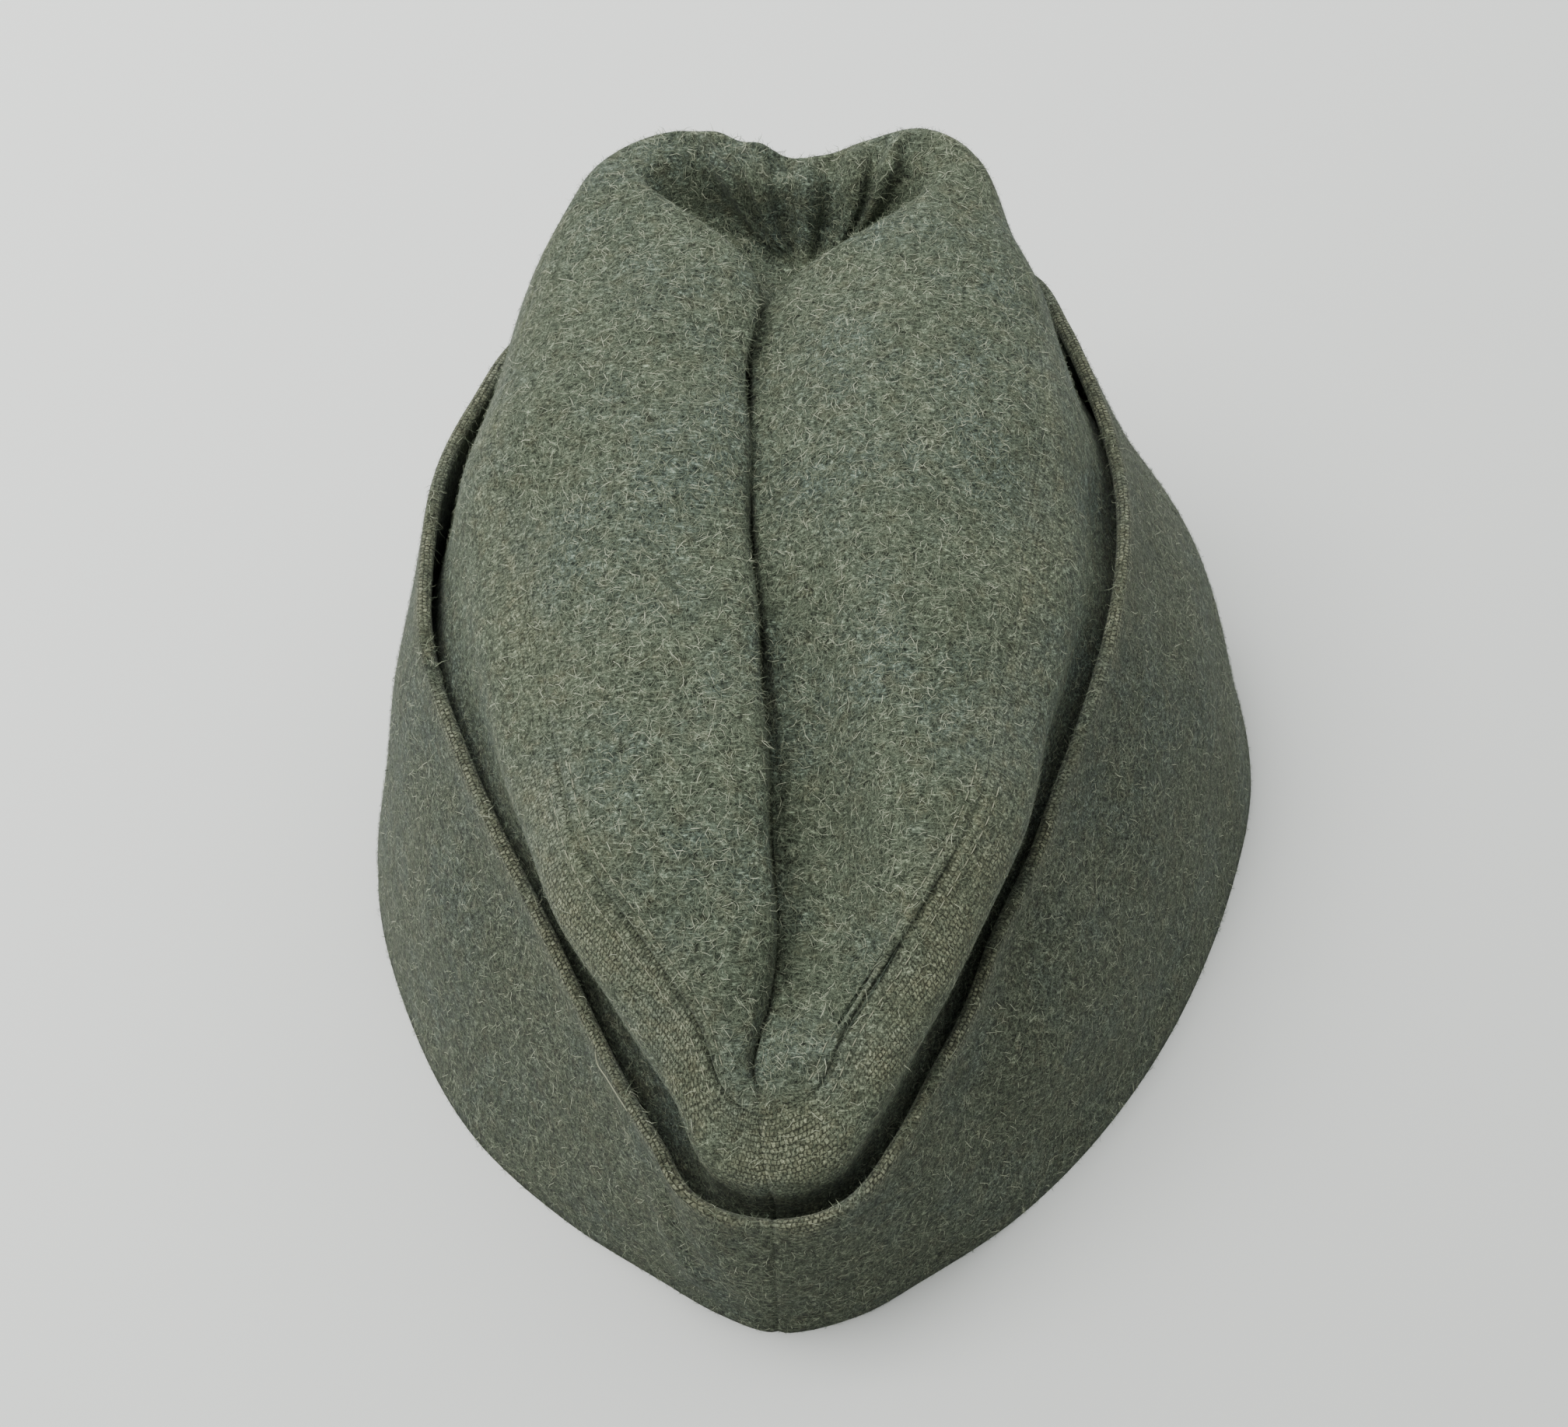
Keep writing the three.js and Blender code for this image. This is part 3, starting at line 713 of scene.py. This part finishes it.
def crown_wear(points, from_ridge):
    """How far the nap is worn off: along the ridges and on the bulge at the back."""
    most = bell(FROM_BACK - RIDGE_WEAR["turn"], RIDGE_WEAR["spread"])
    worn = (RIDGE_WEAR["least"] + RIDGE_WEAR["more"] * most)[:, None]
    worn = worn * bell(from_ridge + RIDGE_WEAR["below"], RIDGE_WEAR["width"])
    for place in (BAND_WEAR, BACK_WEAR):
        shown = place["most"] * fade(*place["turns"], FROM_BACK)[:, None]
        worn = np.maximum(worn, shown * bell(from_ridge + place["below"], place["width"]))
    return patchy(worn, points, CROWN_PATCHES)


wear = crown_wear(crown, from_ridge)
pieces = {}
for side, ribs in SIDES.items():
    rows = slice(0, RIDGE_ROW + 1)
    shape = (ribs, rows)
    name = f"crown_side_{side}_cloth"
    around = np.broadcast_to(ROUND[ribs][:, None], crown[shape].shape[:2])
    pieces[name] = cloth_panel(
        name, crown[shape], crown_inner[shape], around, from_ridge[shape], wear[shape], open_ends=True
    )
    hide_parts(f"crown_side_{side}")

top_rows = slice(RIDGE_ROW, None)
top_outer = crown[:, top_rows]
pieces["crown_top_cloth"] = cloth_panel(
    "crown_top_cloth",
    top_outer,
    crown_inner[:, top_rows],
    np.broadcast_to(ROUND[:, None], top_outer.shape[:2]),
    from_ridge[:, top_rows],
    wear[:, top_rows],
    open_ends=False,
    top_wall=False,
)
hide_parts("crown_top")


def fold_level(part):
    """The distance up the turn-up from its outer face's top, rib by rib."""
    rise = grid_lengths(part)
    return rise - rise[:, TURN_UP_ROWS - 1][:, None]


def fold_wear(part):
    """How far the nap is worn off along the turn-up's folded edge."""
    worn = bell(fold_level(part) - FOLD_WEAR["below"], FOLD_WEAR["width"])
    return patchy(worn, part, FOLD_PATCHES)


def turn_up_half(name, ribs):
    """One half of the turn-up, closed at both ends."""
    part = turn_up[ribs]
    count, rows = part.shape[:2]
    ids = np.arange(count * rows).reshape(count, rows)
    faces = [grid_faces(count, rows), wall_faces(ids[:, 0], ids[:, -1], flip=True)]
    half_rows = rows // 2
    for end, flip in ((0, False), (-1, True)):
        outer_ids = ids[end, :half_rows]
        inner_ids = ids[end, ::-1][:half_rows]
        faces.append(wall_faces(outer_ids, inner_ids, flip))
    level = fold_level(part)
    around = np.broadcast_to(ROUND[ribs][:, None], level.shape)
    uv = np.stack([around, level], -1).reshape(-1, 2)
    worn = fold_wear(part).ravel()
    obj = mesh_object(name, part.reshape(-1, 3), np.concatenate(faces), uv, worn, len(faces[0]))
    weld(obj)
    return obj


for side, ribs in SIDES.items():
    name = f"turn_up_{side}_cloth"
    pieces[name] = turn_up_half(name, ribs)
    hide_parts(f"turn_up_{side}")


# Topstitching beside the seams, in millimetres, and the turns between which it shows. A stitch is
# thinnest at its ends and arched in its middle.
STITCH_LENGTH = 2.1
STITCH_PITCH = 3.0
STITCH_RADIUS = 0.13
STITCH_LIFT = (-0.08, 0.12)
STITCH_ARCH = 0.1
STITCH_END = 0.55
STITCH_TURNS = (1.0, 4.5)
STITCH_POINTS = 6
STITCH_SEED = 5
STITCH_ROWS = (-ROW_OFFSET, ROW_OFFSET)

# A loose thread on the turn-up: places on its outer face, and the lift in millimetres
LOOSE_THREAD = table(
    "turn level lift",
    (20.93, 0.995, 0.1),
    (21.00, 0.965, 0.5),
    (21.17, 0.990, 0.5),
    (21.50, 0.995, 0.1),
)
LOOSE_POINTS = 30
THREAD_RADIUS = 0.13
TUBE_SIDES = 6


def beside_seam(grid, offset, ribs):
    """A grid's values at a distance from the seam, one for each rib."""
    return np.array([
        [np.interp(offset, from_ridge[r], grid[r, :, axis]) for axis in range(3)] for r in ribs
    ])


def along_line(points, values, where):
    """Values read at distances along a line."""
    steps = np.linalg.norm(np.diff(points, axis=0), axis=1)
    places = np.concatenate([[0], np.cumsum(steps)])
    return np.stack([np.interp(where, places, values[:, axis]) for axis in range(3)], 1)


def tube(points, normals, radii):
    """Points and faces of a round thread through the points."""
    ahead = unit(np.gradient(points, axis=0))
    side = unit(np.cross(normals, ahead))
    up = np.cross(ahead, side)
    angles = np.arange(TUBE_SIDES) * 2 * np.pi / TUBE_SIDES
    ring = side[:, None] * np.cos(angles)[:, None] + up[:, None] * np.sin(angles)[:, None]
    around = points[:, None] + ring * radii[:, None, None]
    row, place = np.meshgrid(np.arange(len(points) - 1), np.arange(TUBE_SIDES), indexing="ij")
    a = row * TUBE_SIDES + place
    b = row * TUBE_SIDES + (place + 1) % TUBE_SIDES
    quads = np.stack([a, b, b + TUBE_SIDES, a + TUBE_SIDES], -1)
    return around.reshape(-1, 3), quads.reshape(-1, 4)


def joined(tubes):
    """Several tubes as one set of points and faces."""
    starts = np.cumsum([0] + [len(points) for points, _ in tubes[:-1]])
    faces = [quads + start for (_, quads), start in zip(tubes, starts)]
    return np.concatenate([points for points, _ in tubes]), np.concatenate(faces)


def stitches():
    """Two rows of stitches beside the seam, on each side of the cap's back."""
    rng = np.random.default_rng(STITCH_SEED)
    shares = np.linspace(0, 1, STITCH_POINTS)
    arch = np.sin(np.pi * shares)
    radii = STITCH_RADIUS * blend(STITCH_END, 1, arch)
    shown = (FROM_BACK > STITCH_TURNS[0]) & (FROM_BACK < STITCH_TURNS[1])
    tubes = []
    for side in (TURNS < HALF, TURNS > HALF):
        ribs = np.flatnonzero(side & shown)
        for offset in STITCH_ROWS:
            points = beside_seam(crown, offset, ribs)
            normals = unit(beside_seam(crown_normals, offset, ribs))
            length = np.linalg.norm(np.diff(points, axis=0), axis=1).sum()
            for start in np.arange(0, length - STITCH_LENGTH, STITCH_PITCH):
                where = start + shares * STITCH_LENGTH
                out = along_line(points, normals, where)
                rise = rng.uniform(*STITCH_LIFT) + STITCH_ARCH * arch[:, None]
                line = along_line(points, points, where) + out * rise
                tubes.append(tube(line, out, radii))
    return joined(tubes)


def loose_thread():
    """A thread that lies on the turn-up's edge at the wearer's left."""
    points = []
    normals = grid_normals(turn_up)
    for turn, level, lift in zip(*LOOSE_THREAD.values()):
        rib = int(np.abs(TURNS - turn).argmin())
        row = round(level * (TURN_UP_ROWS - 1))
        points.append(turn_up[rib, row] + normals[rib, row] * lift)
    line = spline(np.array(points), np.linspace(0, len(points) - 1, LOOSE_POINTS))
    upward = np.broadcast_to([0, 0, 1.0], line.shape)
    return tube(line, upward, np.full(len(line), THREAD_RADIUS))


for name, (points, faces) in (("seam_stitches", stitches()), ("loose_thread", loose_thread())):
    pieces[name] = mesh_object(name, points, faces)


class Nodes:
    """Short ways to add and join shader nodes."""

    def __init__(self, name):
        self.material = bpy.data.materials.new(name)
        self.material.use_nodes = True
        self.tree = self.material.node_tree
        self.tree.nodes.clear()

    def add(self, kind, inputs=None, **settings):
        node = self.tree.nodes.new(kind)
        for key, value in settings.items():
            setattr(node, key, value)
        for key, value in (inputs or {}).items():
            if isinstance(value, bpy.types.NodeSocket):
                self.tree.links.new(value, node.inputs[key])
            else:
                node.inputs[key].default_value = value
        return node

    def math(self, operation, a, b=0.0, clamp=False):
        return self.add("ShaderNodeMath", {0: a, 1: b}, operation=operation, use_clamp=clamp).outputs[0]

    def times(self, a, b, clamp=False):
        return self.math("MULTIPLY", a, b, clamp)

    def moved(self, vector, step):
        return self.add("ShaderNodeVectorMath", {0: vector, 1: step}, operation="ADD").outputs[0]

    def scaled(self, vector, size):
        inputs = {0: vector, 1: (size, size, size)}
        return self.add("ShaderNodeVectorMath", inputs, operation="MULTIPLY").outputs[0]

    def mix(self, share, a, b, how="MIX"):
        inputs = {"Factor": share, 6: a, 7: b}
        return self.add("ShaderNodeMix", inputs, data_type="RGBA", blend_type=how).outputs[2]

    def span(self, value, low, high, to_low=0.0, to_high=1.0):
        inputs = {0: value, 1: low, 2: high, 3: to_low, 4: to_high}
        return self.add("ShaderNodeMapRange", inputs, clamp=True).outputs[0]

    def noise(self, vector, scale, detail=3.0, rough=0.55, twist=0.0):
        """Noise whose features are about 1 / scale millimetres."""
        inputs = {"Vector": vector, "Scale": scale, "Detail": detail}
        inputs.update({"Roughness": rough, "Distortion": twist})
        return self.add("ShaderNodeTexNoise", inputs).outputs["Fac"]

    def finished(self, inputs):
        """The material, with one surface made from the inputs."""
        shader = self.add("ShaderNodeBsdfPrincipled", inputs)
        self.add("ShaderNodeOutputMaterial", {"Surface": shader.outputs[0]})
        return self.material


# Felted fibres: how many of them to a millimetre, their sharpness and the pattern's offset
CURLS = (
    {"scale": 0.55, "sharp": 0.030, "offset": (0.0, 0.0, 0.0)},
    {"scale": 0.95, "sharp": 0.036, "offset": (31.0, 17.0, 43.0)},
)
CURL_TWIST = 0.6
CURL_PATCHES = {"scale": 0.5, "offset": (7.0, 5.0, 3.0), "span": (0.4, 0.6)}

# Straight streaks: the tilts and the turn in degrees, and their features to a millimetre
FIBRE_WAYS = ((15, 25.5, 20), (-20, -34, 110))
FIBRE_TWIST = 0.4
FIBRE_LENGTH = 0.35
FIBRE_THICKNESS = 2.4
FIBRE_SPAN = (0.58, 0.74, 0.0, 0.8)


def fibres(nodes, place):
    """Thin curled and crossing hairs, as of felted wool seen close by: 1 on a hair."""
    total = None
    for curl in CURLS:
        moved = nodes.moved(place, curl["offset"])
        level = nodes.noise(moved, curl["scale"], 2.0, 0.5, CURL_TWIST)
        away = nodes.math("ABSOLUTE", nodes.math("SUBTRACT", level, 0.5))
        line = nodes.span(away, 0.0, curl["sharp"], 1.0, 0.0)
        moved = nodes.moved(moved, CURL_PATCHES["offset"])
        patches = nodes.noise(moved, CURL_PATCHES["scale"], 2.0)
        line = nodes.times(line, nodes.span(patches, *CURL_PATCHES["span"]))
        total = line if total is None else nodes.math("MAXIMUM", total, line)
    for way in FIBRE_WAYS:
        inputs = {
            "Vector": place,
            "Rotation": tuple(math.radians(angle) for angle in way),
            "Scale": (FIBRE_LENGTH, FIBRE_THICKNESS, FIBRE_THICKNESS),
        }
        drawn_out = nodes.add("ShaderNodeMapping", inputs).outputs[0]
        streak = nodes.noise(drawn_out, 1.0, 1.0, 0.5, FIBRE_TWIST)
        total = nodes.math("MAXIMUM", total, nodes.span(streak, *FIBRE_SPAN))
    return total


# Weave that shows where the nap is worn off: a tick's width and height, the dark gap and the
# bend of the rows in millimetres, and the brightness of the dullest tick
TICK = (0.80, 1.02)
TICK_GAP = 0.21
TICK_BEND = 1.15
TICK_LEAST = 0.40


def weave(nodes):
    """The light ticks of the bare weave: up to 1 on a thread, 0 between threads."""
    uv = nodes.add("ShaderNodeUVMap", uv_map="cloth").outputs[0]
    wobble = nodes.add("ShaderNodeTexNoise", {"Vector": uv, "Scale": 1.1, "Detail": 3.0})
    bent = nodes.scaled(wobble.outputs["Color"], TICK_BEND)
    place = nodes.moved(uv, bent)
    bricks = nodes.add(
        "ShaderNodeTexBrick",
        {
            "Vector": place,
            "Scale": 1.0,
            "Color1": (TICK_LEAST, TICK_LEAST, TICK_LEAST, 1),
            "Color2": (1.0, 1.0, 1.0, 1),
            "Mortar": (0.0, 0.0, 0.0, 1),
            "Mortar Size": TICK_GAP,
            "Mortar Smooth": 0.9,
            "Brick Width": TICK[0],
            "Row Height": TICK[1],
        },
        offset=0.5,
    )
    return bricks.outputs["Color"]


# The wool's noises: features to a millimetre, detail and roughness
LARGE_NOISE = (0.05, 3.0)
OTHER_NOISE = (0.28, 3.0)
OTHER_OFFSET = (91.0, 37.0, 53.0)
MIDDLE_NOISE = (0.6, 3.0, 0.6)
FINE_NOISE = (1.3, 3.0, 0.65)

# How far the blue-grey, the brown and the worn colour mix in
COOL_SPAN = (0.44, 0.64)
WARM_SPAN = (0.5, 0.68, 0.0, 0.55)
WORN_SHARE = 0.7

# From a noise, or from the lines of fibres and threads, to a factor on the wear or the brightness
PATCH_SPAN = (0.3, 0.7, 0.65, 1.25)
SHADE_SPAN = (0.32, 0.68, 0.55, 1.45)
GRAIN_SPAN = (0.32, 0.68, 0.22, 1.78)
CALM_SPAN = (0.32, 0.68, 0.72, 1.28)
HAIR_SPAN = (0.0, 1.0, 0.55, 2.5)
TICK_SPAN = (0.0, 1.0, 0.28, 2.3)
FUZZ_SPAN = (0.0, 1.0, 0.85, 1.6)


def wool(name, base, cool, warm, worn_colour, wear_gain):
    """Brushed wool: mixed green, blue-grey and brown fibres over a weave that shows where worn."""
    nodes = Nodes(name)
    here = nodes.add("ShaderNodeTexCoord").outputs["Object"]
    place = nodes.scaled(here, 1 / MM)
    large = nodes.noise(place, *LARGE_NOISE)
    other = nodes.noise(nodes.moved(place, OTHER_OFFSET), *OTHER_NOISE)
    middle = nodes.noise(place, *MIDDLE_NOISE)
    fine = nodes.noise(place, *FINE_NOISE)
    streaks = fibres(nodes, place)
    threads = weave(nodes)
    worn = nodes.add("ShaderNodeAttribute", attribute_name="wear").outputs["Fac"]
    worn = nodes.times(nodes.times(worn, nodes.span(middle, *PATCH_SPAN)), wear_gain, clamp=True)

    colour = nodes.mix(nodes.span(large, *COOL_SPAN), base, cool)
    colour = nodes.mix(nodes.span(other, *WARM_SPAN), colour, warm)
    colour = nodes.mix(nodes.times(worn, WORN_SHARE), colour, worn_colour)
    plain = nodes.times(nodes.span(fine, *GRAIN_SPAN), nodes.span(streaks, *HAIR_SPAN))
    plain = nodes.times(plain, nodes.span(middle, *SHADE_SPAN))
    bare = nodes.times(nodes.span(threads, *TICK_SPAN), nodes.span(fine, *CALM_SPAN))
    bare = nodes.times(bare, nodes.span(streaks, *FUZZ_SPAN))
    value = nodes.add("ShaderNodeMix", {"Factor": worn, 2: plain, 3: bare}).outputs[0]
    grey = nodes.add("ShaderNodeCombineColor", {0: value, 1: value, 2: value}).outputs[0]
    colour = nodes.mix(1.0, colour, grey, "MULTIPLY")

    pile = nodes.math("ADD", nodes.times(streaks, 0.5), nodes.times(fine, 0.5))
    ribbed = nodes.times(threads, 1.1)
    height = nodes.add("ShaderNodeMix", {"Factor": worn, 2: pile, 3: ribbed}).outputs[0]
    bump = {"Height": height, "Strength": 0.75, "Distance": 0.4 * MM}
    lumps = {"Height": middle, "Strength": 0.5, "Distance": 0.6 * MM}
    lumps["Normal"] = nodes.add("ShaderNodeBump", bump).outputs[0]
    return nodes.finished({
        "Base Color": colour,
        "Roughness": 0.95,
        "Specular IOR Level": 0.15,
        "Sheen Weight": 0.12,
        "Sheen Roughness": 0.5,
        "Sheen Tint": (0.80, 0.86, 0.78, 1.0),
        "Normal": nodes.add("ShaderNodeBump", lumps).outputs[0],
    })


crown_wool = wool(
    "crown_wool",
    base=(0.081, 0.100, 0.068, 1),
    cool=(0.075, 0.098, 0.078, 1),
    warm=(0.090, 0.090, 0.056, 1),
    worn_colour=(0.122, 0.123, 0.077, 1),
    wear_gain=0.95,
)
# The turn-up's wool is the crown's wool painted about a quarter darker: painted shade for the turn-up's
# steep sides, which face away from the light.
turn_up_shaded_wool = wool(
    "turn_up_shaded_wool",
    base=(0.064, 0.074, 0.050, 1),
    cool=(0.059, 0.073, 0.057, 1),
    warm=(0.068, 0.067, 0.043, 1),
    worn_colour=(0.101, 0.104, 0.068, 1),
    wear_gain=1.0,
)
for name, obj in pieces.items():
    if name.endswith("_cloth"):
        obj.data.materials.append(turn_up_shaded_wool if name.startswith("turn_up") else crown_wool)


def thread_material():
    """Dull pale sewing thread."""
    nodes = Nodes("thread")
    colour = (0.25, 0.26, 0.18, 1)
    return nodes.finished({"Base Color": colour, "Roughness": 0.8})


thread = thread_material()
for name in ("seam_stitches", "loose_thread"):
    pieces[name].data.materials.append(thread)


# Loose hairs of the nap, in millimetres and degrees. TIP_LIFT is the tip's share of the lift, and
# HAIR_THINNED is the share of hairs that is missing where the nap is worn off.
HAIR_SEED = 17
HAIR_WIDTH = (0.05, 0.11)
HAIR_LENGTH = (1.0, 3.4)
HAIR_LIFT = (2.0, 20.0)
HAIR_BEND = 60.0
HAIR_CLEAR = 0.02
TIP_LIFT = 0.3
HAIR_THINNED = 0.85
HAIR_POINTS = 5
HAIR_CORNERS = 7


def hairs(name, surface, worn, count, seed):
    """Fine bent hairs lying on a grid's outer face, each of two flat links, fewer where worn."""
    rng = np.random.default_rng(seed)
    a = surface[:-1, :-1].reshape(-1, 3)
    b = surface[1:, :-1].reshape(-1, 3)
    c = surface[1:, 1:].reshape(-1, 3)
    d = surface[:-1, 1:].reshape(-1, 3)
    cross = np.cross(c - a, d - b)
    weights = np.linalg.norm(cross, axis=1) * (1 - HAIR_THINNED * worn[:-1, :-1].ravel())
    pick = rng.choice(len(a), size=count, p=weights / weights.sum())
    u, v = rng.random((2, count, 1))
    root = blend(blend(a[pick], b[pick], u), blend(d[pick], c[pick], u), v)
    normal = unit(cross[pick])
    lie = unit(np.cross(normal, rng.normal(size=(count, 3))))
    bend = np.radians(rng.uniform(-HAIR_BEND, HAIR_BEND, (count, 1)))
    turned = lie * np.cos(bend) + np.cross(normal, lie) * np.sin(bend)
    lift = np.radians(rng.uniform(*HAIR_LIFT, (count, 1)))
    length = rng.uniform(*HAIR_LENGTH, (count, 1)) / 2
    width = rng.uniform(*HAIR_WIDTH, (count, 1)) / 2
    root = root + normal * HAIR_CLEAR
    knee = root + (lie * np.cos(lift) + normal * np.sin(lift)) * length
    lift = lift * TIP_LIFT
    tip = knee + (turned * np.cos(lift) + normal * np.sin(lift)) * length
    side = np.cross(normal, lie) * width
    turned_side = np.cross(normal, turned) * width
    points = np.stack([root - side, root + side, knee + turned_side, knee - turned_side, tip], 1)
    points[:, :, 2] = np.maximum(points[:, :, 2], 0)
    start = np.arange(count)[:, None] * HAIR_POINTS
    quads = start + np.array([0, 1, 2, 3])
    tips = start + np.array([3, 2, 4])
    mesh = bpy.data.meshes.new(name)
    verts = ((points.reshape(-1, 3) + SHIFT) * MM).astype(np.float32)
    mesh.vertices.add(len(verts))
    mesh.vertices.foreach_set("co", verts.ravel())
    mesh.loops.add(count * HAIR_CORNERS)
    corners = np.concatenate([quads, tips], axis=1)
    mesh.loops.foreach_set("vertex_index", corners.ravel())
    mesh.polygons.add(count * 2)
    starts = (np.arange(count)[:, None] * HAIR_CORNERS + np.array([0, 4])).ravel()
    mesh.polygons.foreach_set("loop_start", starts)
    mesh.update(calc_edges=True)
    mesh.validate()
    return linked(name, mesh)


def hair_material():
    """Pale and mid grey-green hairs."""
    nodes = Nodes("nap_hair")
    which = nodes.add("ShaderNodeNewGeometry").outputs["Random Per Island"]
    ramp = nodes.add("ShaderNodeValToRGB", {"Fac": which})
    ramp.color_ramp.elements[0].color = (0.050, 0.061, 0.040, 1)
    ramp.color_ramp.elements[1].color = (0.47, 0.50, 0.37, 1)
    for position, colour in ((0.45, (0.105, 0.130, 0.090, 1)), (0.85, (0.19, 0.218, 0.150, 1))):
        ramp.color_ramp.elements.new(position).color = colour
    return nodes.finished({"Base Color": ramp.outputs[0], "Roughness": 0.8, "Specular IOR Level": 0.2})


nap = hair_material()
NAP_COUNTS = {"crown_top": 64000, "crown_sides": 36000, "turn_up": 62000}
NAP_SIDE_ROWS = 22
side_rows = slice(RIDGE_ROW - NAP_SIDE_ROWS, RIDGE_ROW + 1)
turn_up_rows = slice(0, TURN_UP_ROWS + FOLD_ROWS)
nap_faces = {
    "crown_top": (crown[:, top_rows], wear[:, top_rows]),
    "crown_sides": (crown[:, side_rows], wear[:, side_rows]),
    "turn_up": (turn_up[:, turn_up_rows], fold_wear(turn_up)[:, turn_up_rows]),
}
for number, (where, count) in enumerate(NAP_COUNTS.items()):
    surface, worn = nap_faces[where]
    obj = hairs(f"{where}_nap", surface, worn, count, HAIR_SEED + number)
    obj.data.materials.append(nap)
    pieces[obj.name] = obj

for obj in pieces.values():
    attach(obj, "root")


# The floor's painted shade: its paleness at the front left and at the back right, and where it changes,
# in metres
FLOOR = {"front_left": (0.96, 0.98, 0.96, 1), "back_right": (0.46, 0.475, 0.46, 1)}
FLOOR_WAY = (-0.6, 0.8, 0.0)
FLOOR_REACH = 0.45
FLOOR_SIZE = 6.0


def floor():
    """A pale floor with painted shade, a little darker towards the back right where the light falls
    off.
    """
    size = FLOOR_SIZE
    mesh = bpy.data.meshes.new("floor")
    corners = [(-size, -size, 0), (size, -size, 0), (size, size, 0), (-size, size, 0)]
    mesh.from_pydata(corners, [], [(0, 1, 2, 3)])
    obj = linked("floor", mesh)
    nodes = Nodes("floor_painted_shade")
    here = nodes.add("ShaderNodeTexCoord").outputs["Object"]
    across = nodes.add("ShaderNodeVectorMath", {0: here, 1: FLOOR_WAY}, operation="DOT_PRODUCT")
    share = nodes.span(across.outputs["Value"], -FLOOR_REACH, FLOOR_REACH)
    colour = nodes.mix(share, FLOOR["front_left"], FLOOR["back_right"])
    mesh.materials.append(nodes.finished({"Base Color": colour, "Roughness": 0.9}))


# The lamp: its place, aim and side in metres, and its power in watts
KEY_PLACE = (0.52, 0.10, 1.50)
KEY_AIM = (0, 0, 0.05)
KEY_SIZE = 1.0
KEY_POWER = 25.5
KEY_COLOUR = (1.0, 0.99, 0.97)

# Where the room is brightest, and its brightness from the dark to the bright side
BRIGHT_WAY = (0.22, -0.72, 0.66)
ROOM_SPAN = (-0.7, 0.9, 0.10, 1.50)


def key_light():
    """A large soft lamp high over the wearer's left, a little behind the middle."""
    lamp = bpy.data.lights.new("key", "AREA")
    lamp.size = KEY_SIZE
    lamp.energy = KEY_POWER
    lamp.color = KEY_COLOUR
    obj = linked("key", lamp)
    obj.location = KEY_PLACE
    facing = Vector(KEY_AIM) - Vector(KEY_PLACE)
    obj.rotation_euler = facing.to_track_quat("-Z", "Y").to_euler()


def room_light():
    """A pale room, brightest high in front of the cap and dark behind it."""
    world = bpy.data.worlds.new("studio")
    world.use_nodes = True
    tree = world.node_tree
    background = tree.nodes["Background"]
    background.inputs["Color"].default_value = (0.94, 0.96, 0.95, 1)
    way = tree.nodes.new("ShaderNodeTexCoord").outputs["Generated"]
    share = tree.nodes.new("ShaderNodeVectorMath")
    share.operation = "DOT_PRODUCT"
    share.inputs[1].default_value = BRIGHT_WAY
    tree.links.new(way, share.inputs[0])
    level = tree.nodes.new("ShaderNodeMapRange")
    for socket, value in zip(level.inputs[1:5], ROOM_SPAN):
        socket.default_value = value
    tree.links.new(share.outputs["Value"], level.inputs[0])
    tree.links.new(level.outputs[0], background.inputs["Strength"])
    bpy.context.scene.world = world


# The photograph's view
CAMERA_AIM = (0.0043, -0.0014, 0.050)
CAMERA_DISTANCE = 0.9
CAMERA_HEIGHT_ANGLE = math.radians(50)
CAMERA_SIDE_ANGLE = math.radians(4.61)
CAMERA_ROLL = math.radians(-3.54)
FOCAL_PIXELS = 5795
PHOTO_WIDTH = 2016
SENSOR_WIDTH = 36


def camera():
    """Behind the cap and above it."""
    level = CAMERA_DISTANCE * math.cos(CAMERA_HEIGHT_ANGLE)
    aim = Vector(CAMERA_AIM)
    offset = Vector((
        -level * math.sin(CAMERA_SIDE_ANGLE),
        level * math.cos(CAMERA_SIDE_ANGLE),
        CAMERA_DISTANCE * math.sin(CAMERA_HEIGHT_ANGLE),
    ))
    data = bpy.data.cameras.new("camera")
    data.sensor_width = SENSOR_WIDTH
    data.lens = FOCAL_PIXELS / PHOTO_WIDTH * SENSOR_WIDTH
    obj = linked("camera", data)
    obj.location = aim + offset
    facing = (-offset).to_track_quat("-Z", "Y")
    obj.rotation_mode = "QUATERNION"
    obj.rotation_quaternion = facing @ Quaternion((0, 0, 1), CAMERA_ROLL)
    bpy.context.scene.camera = obj


floor()
key_light()
room_light()
camera()
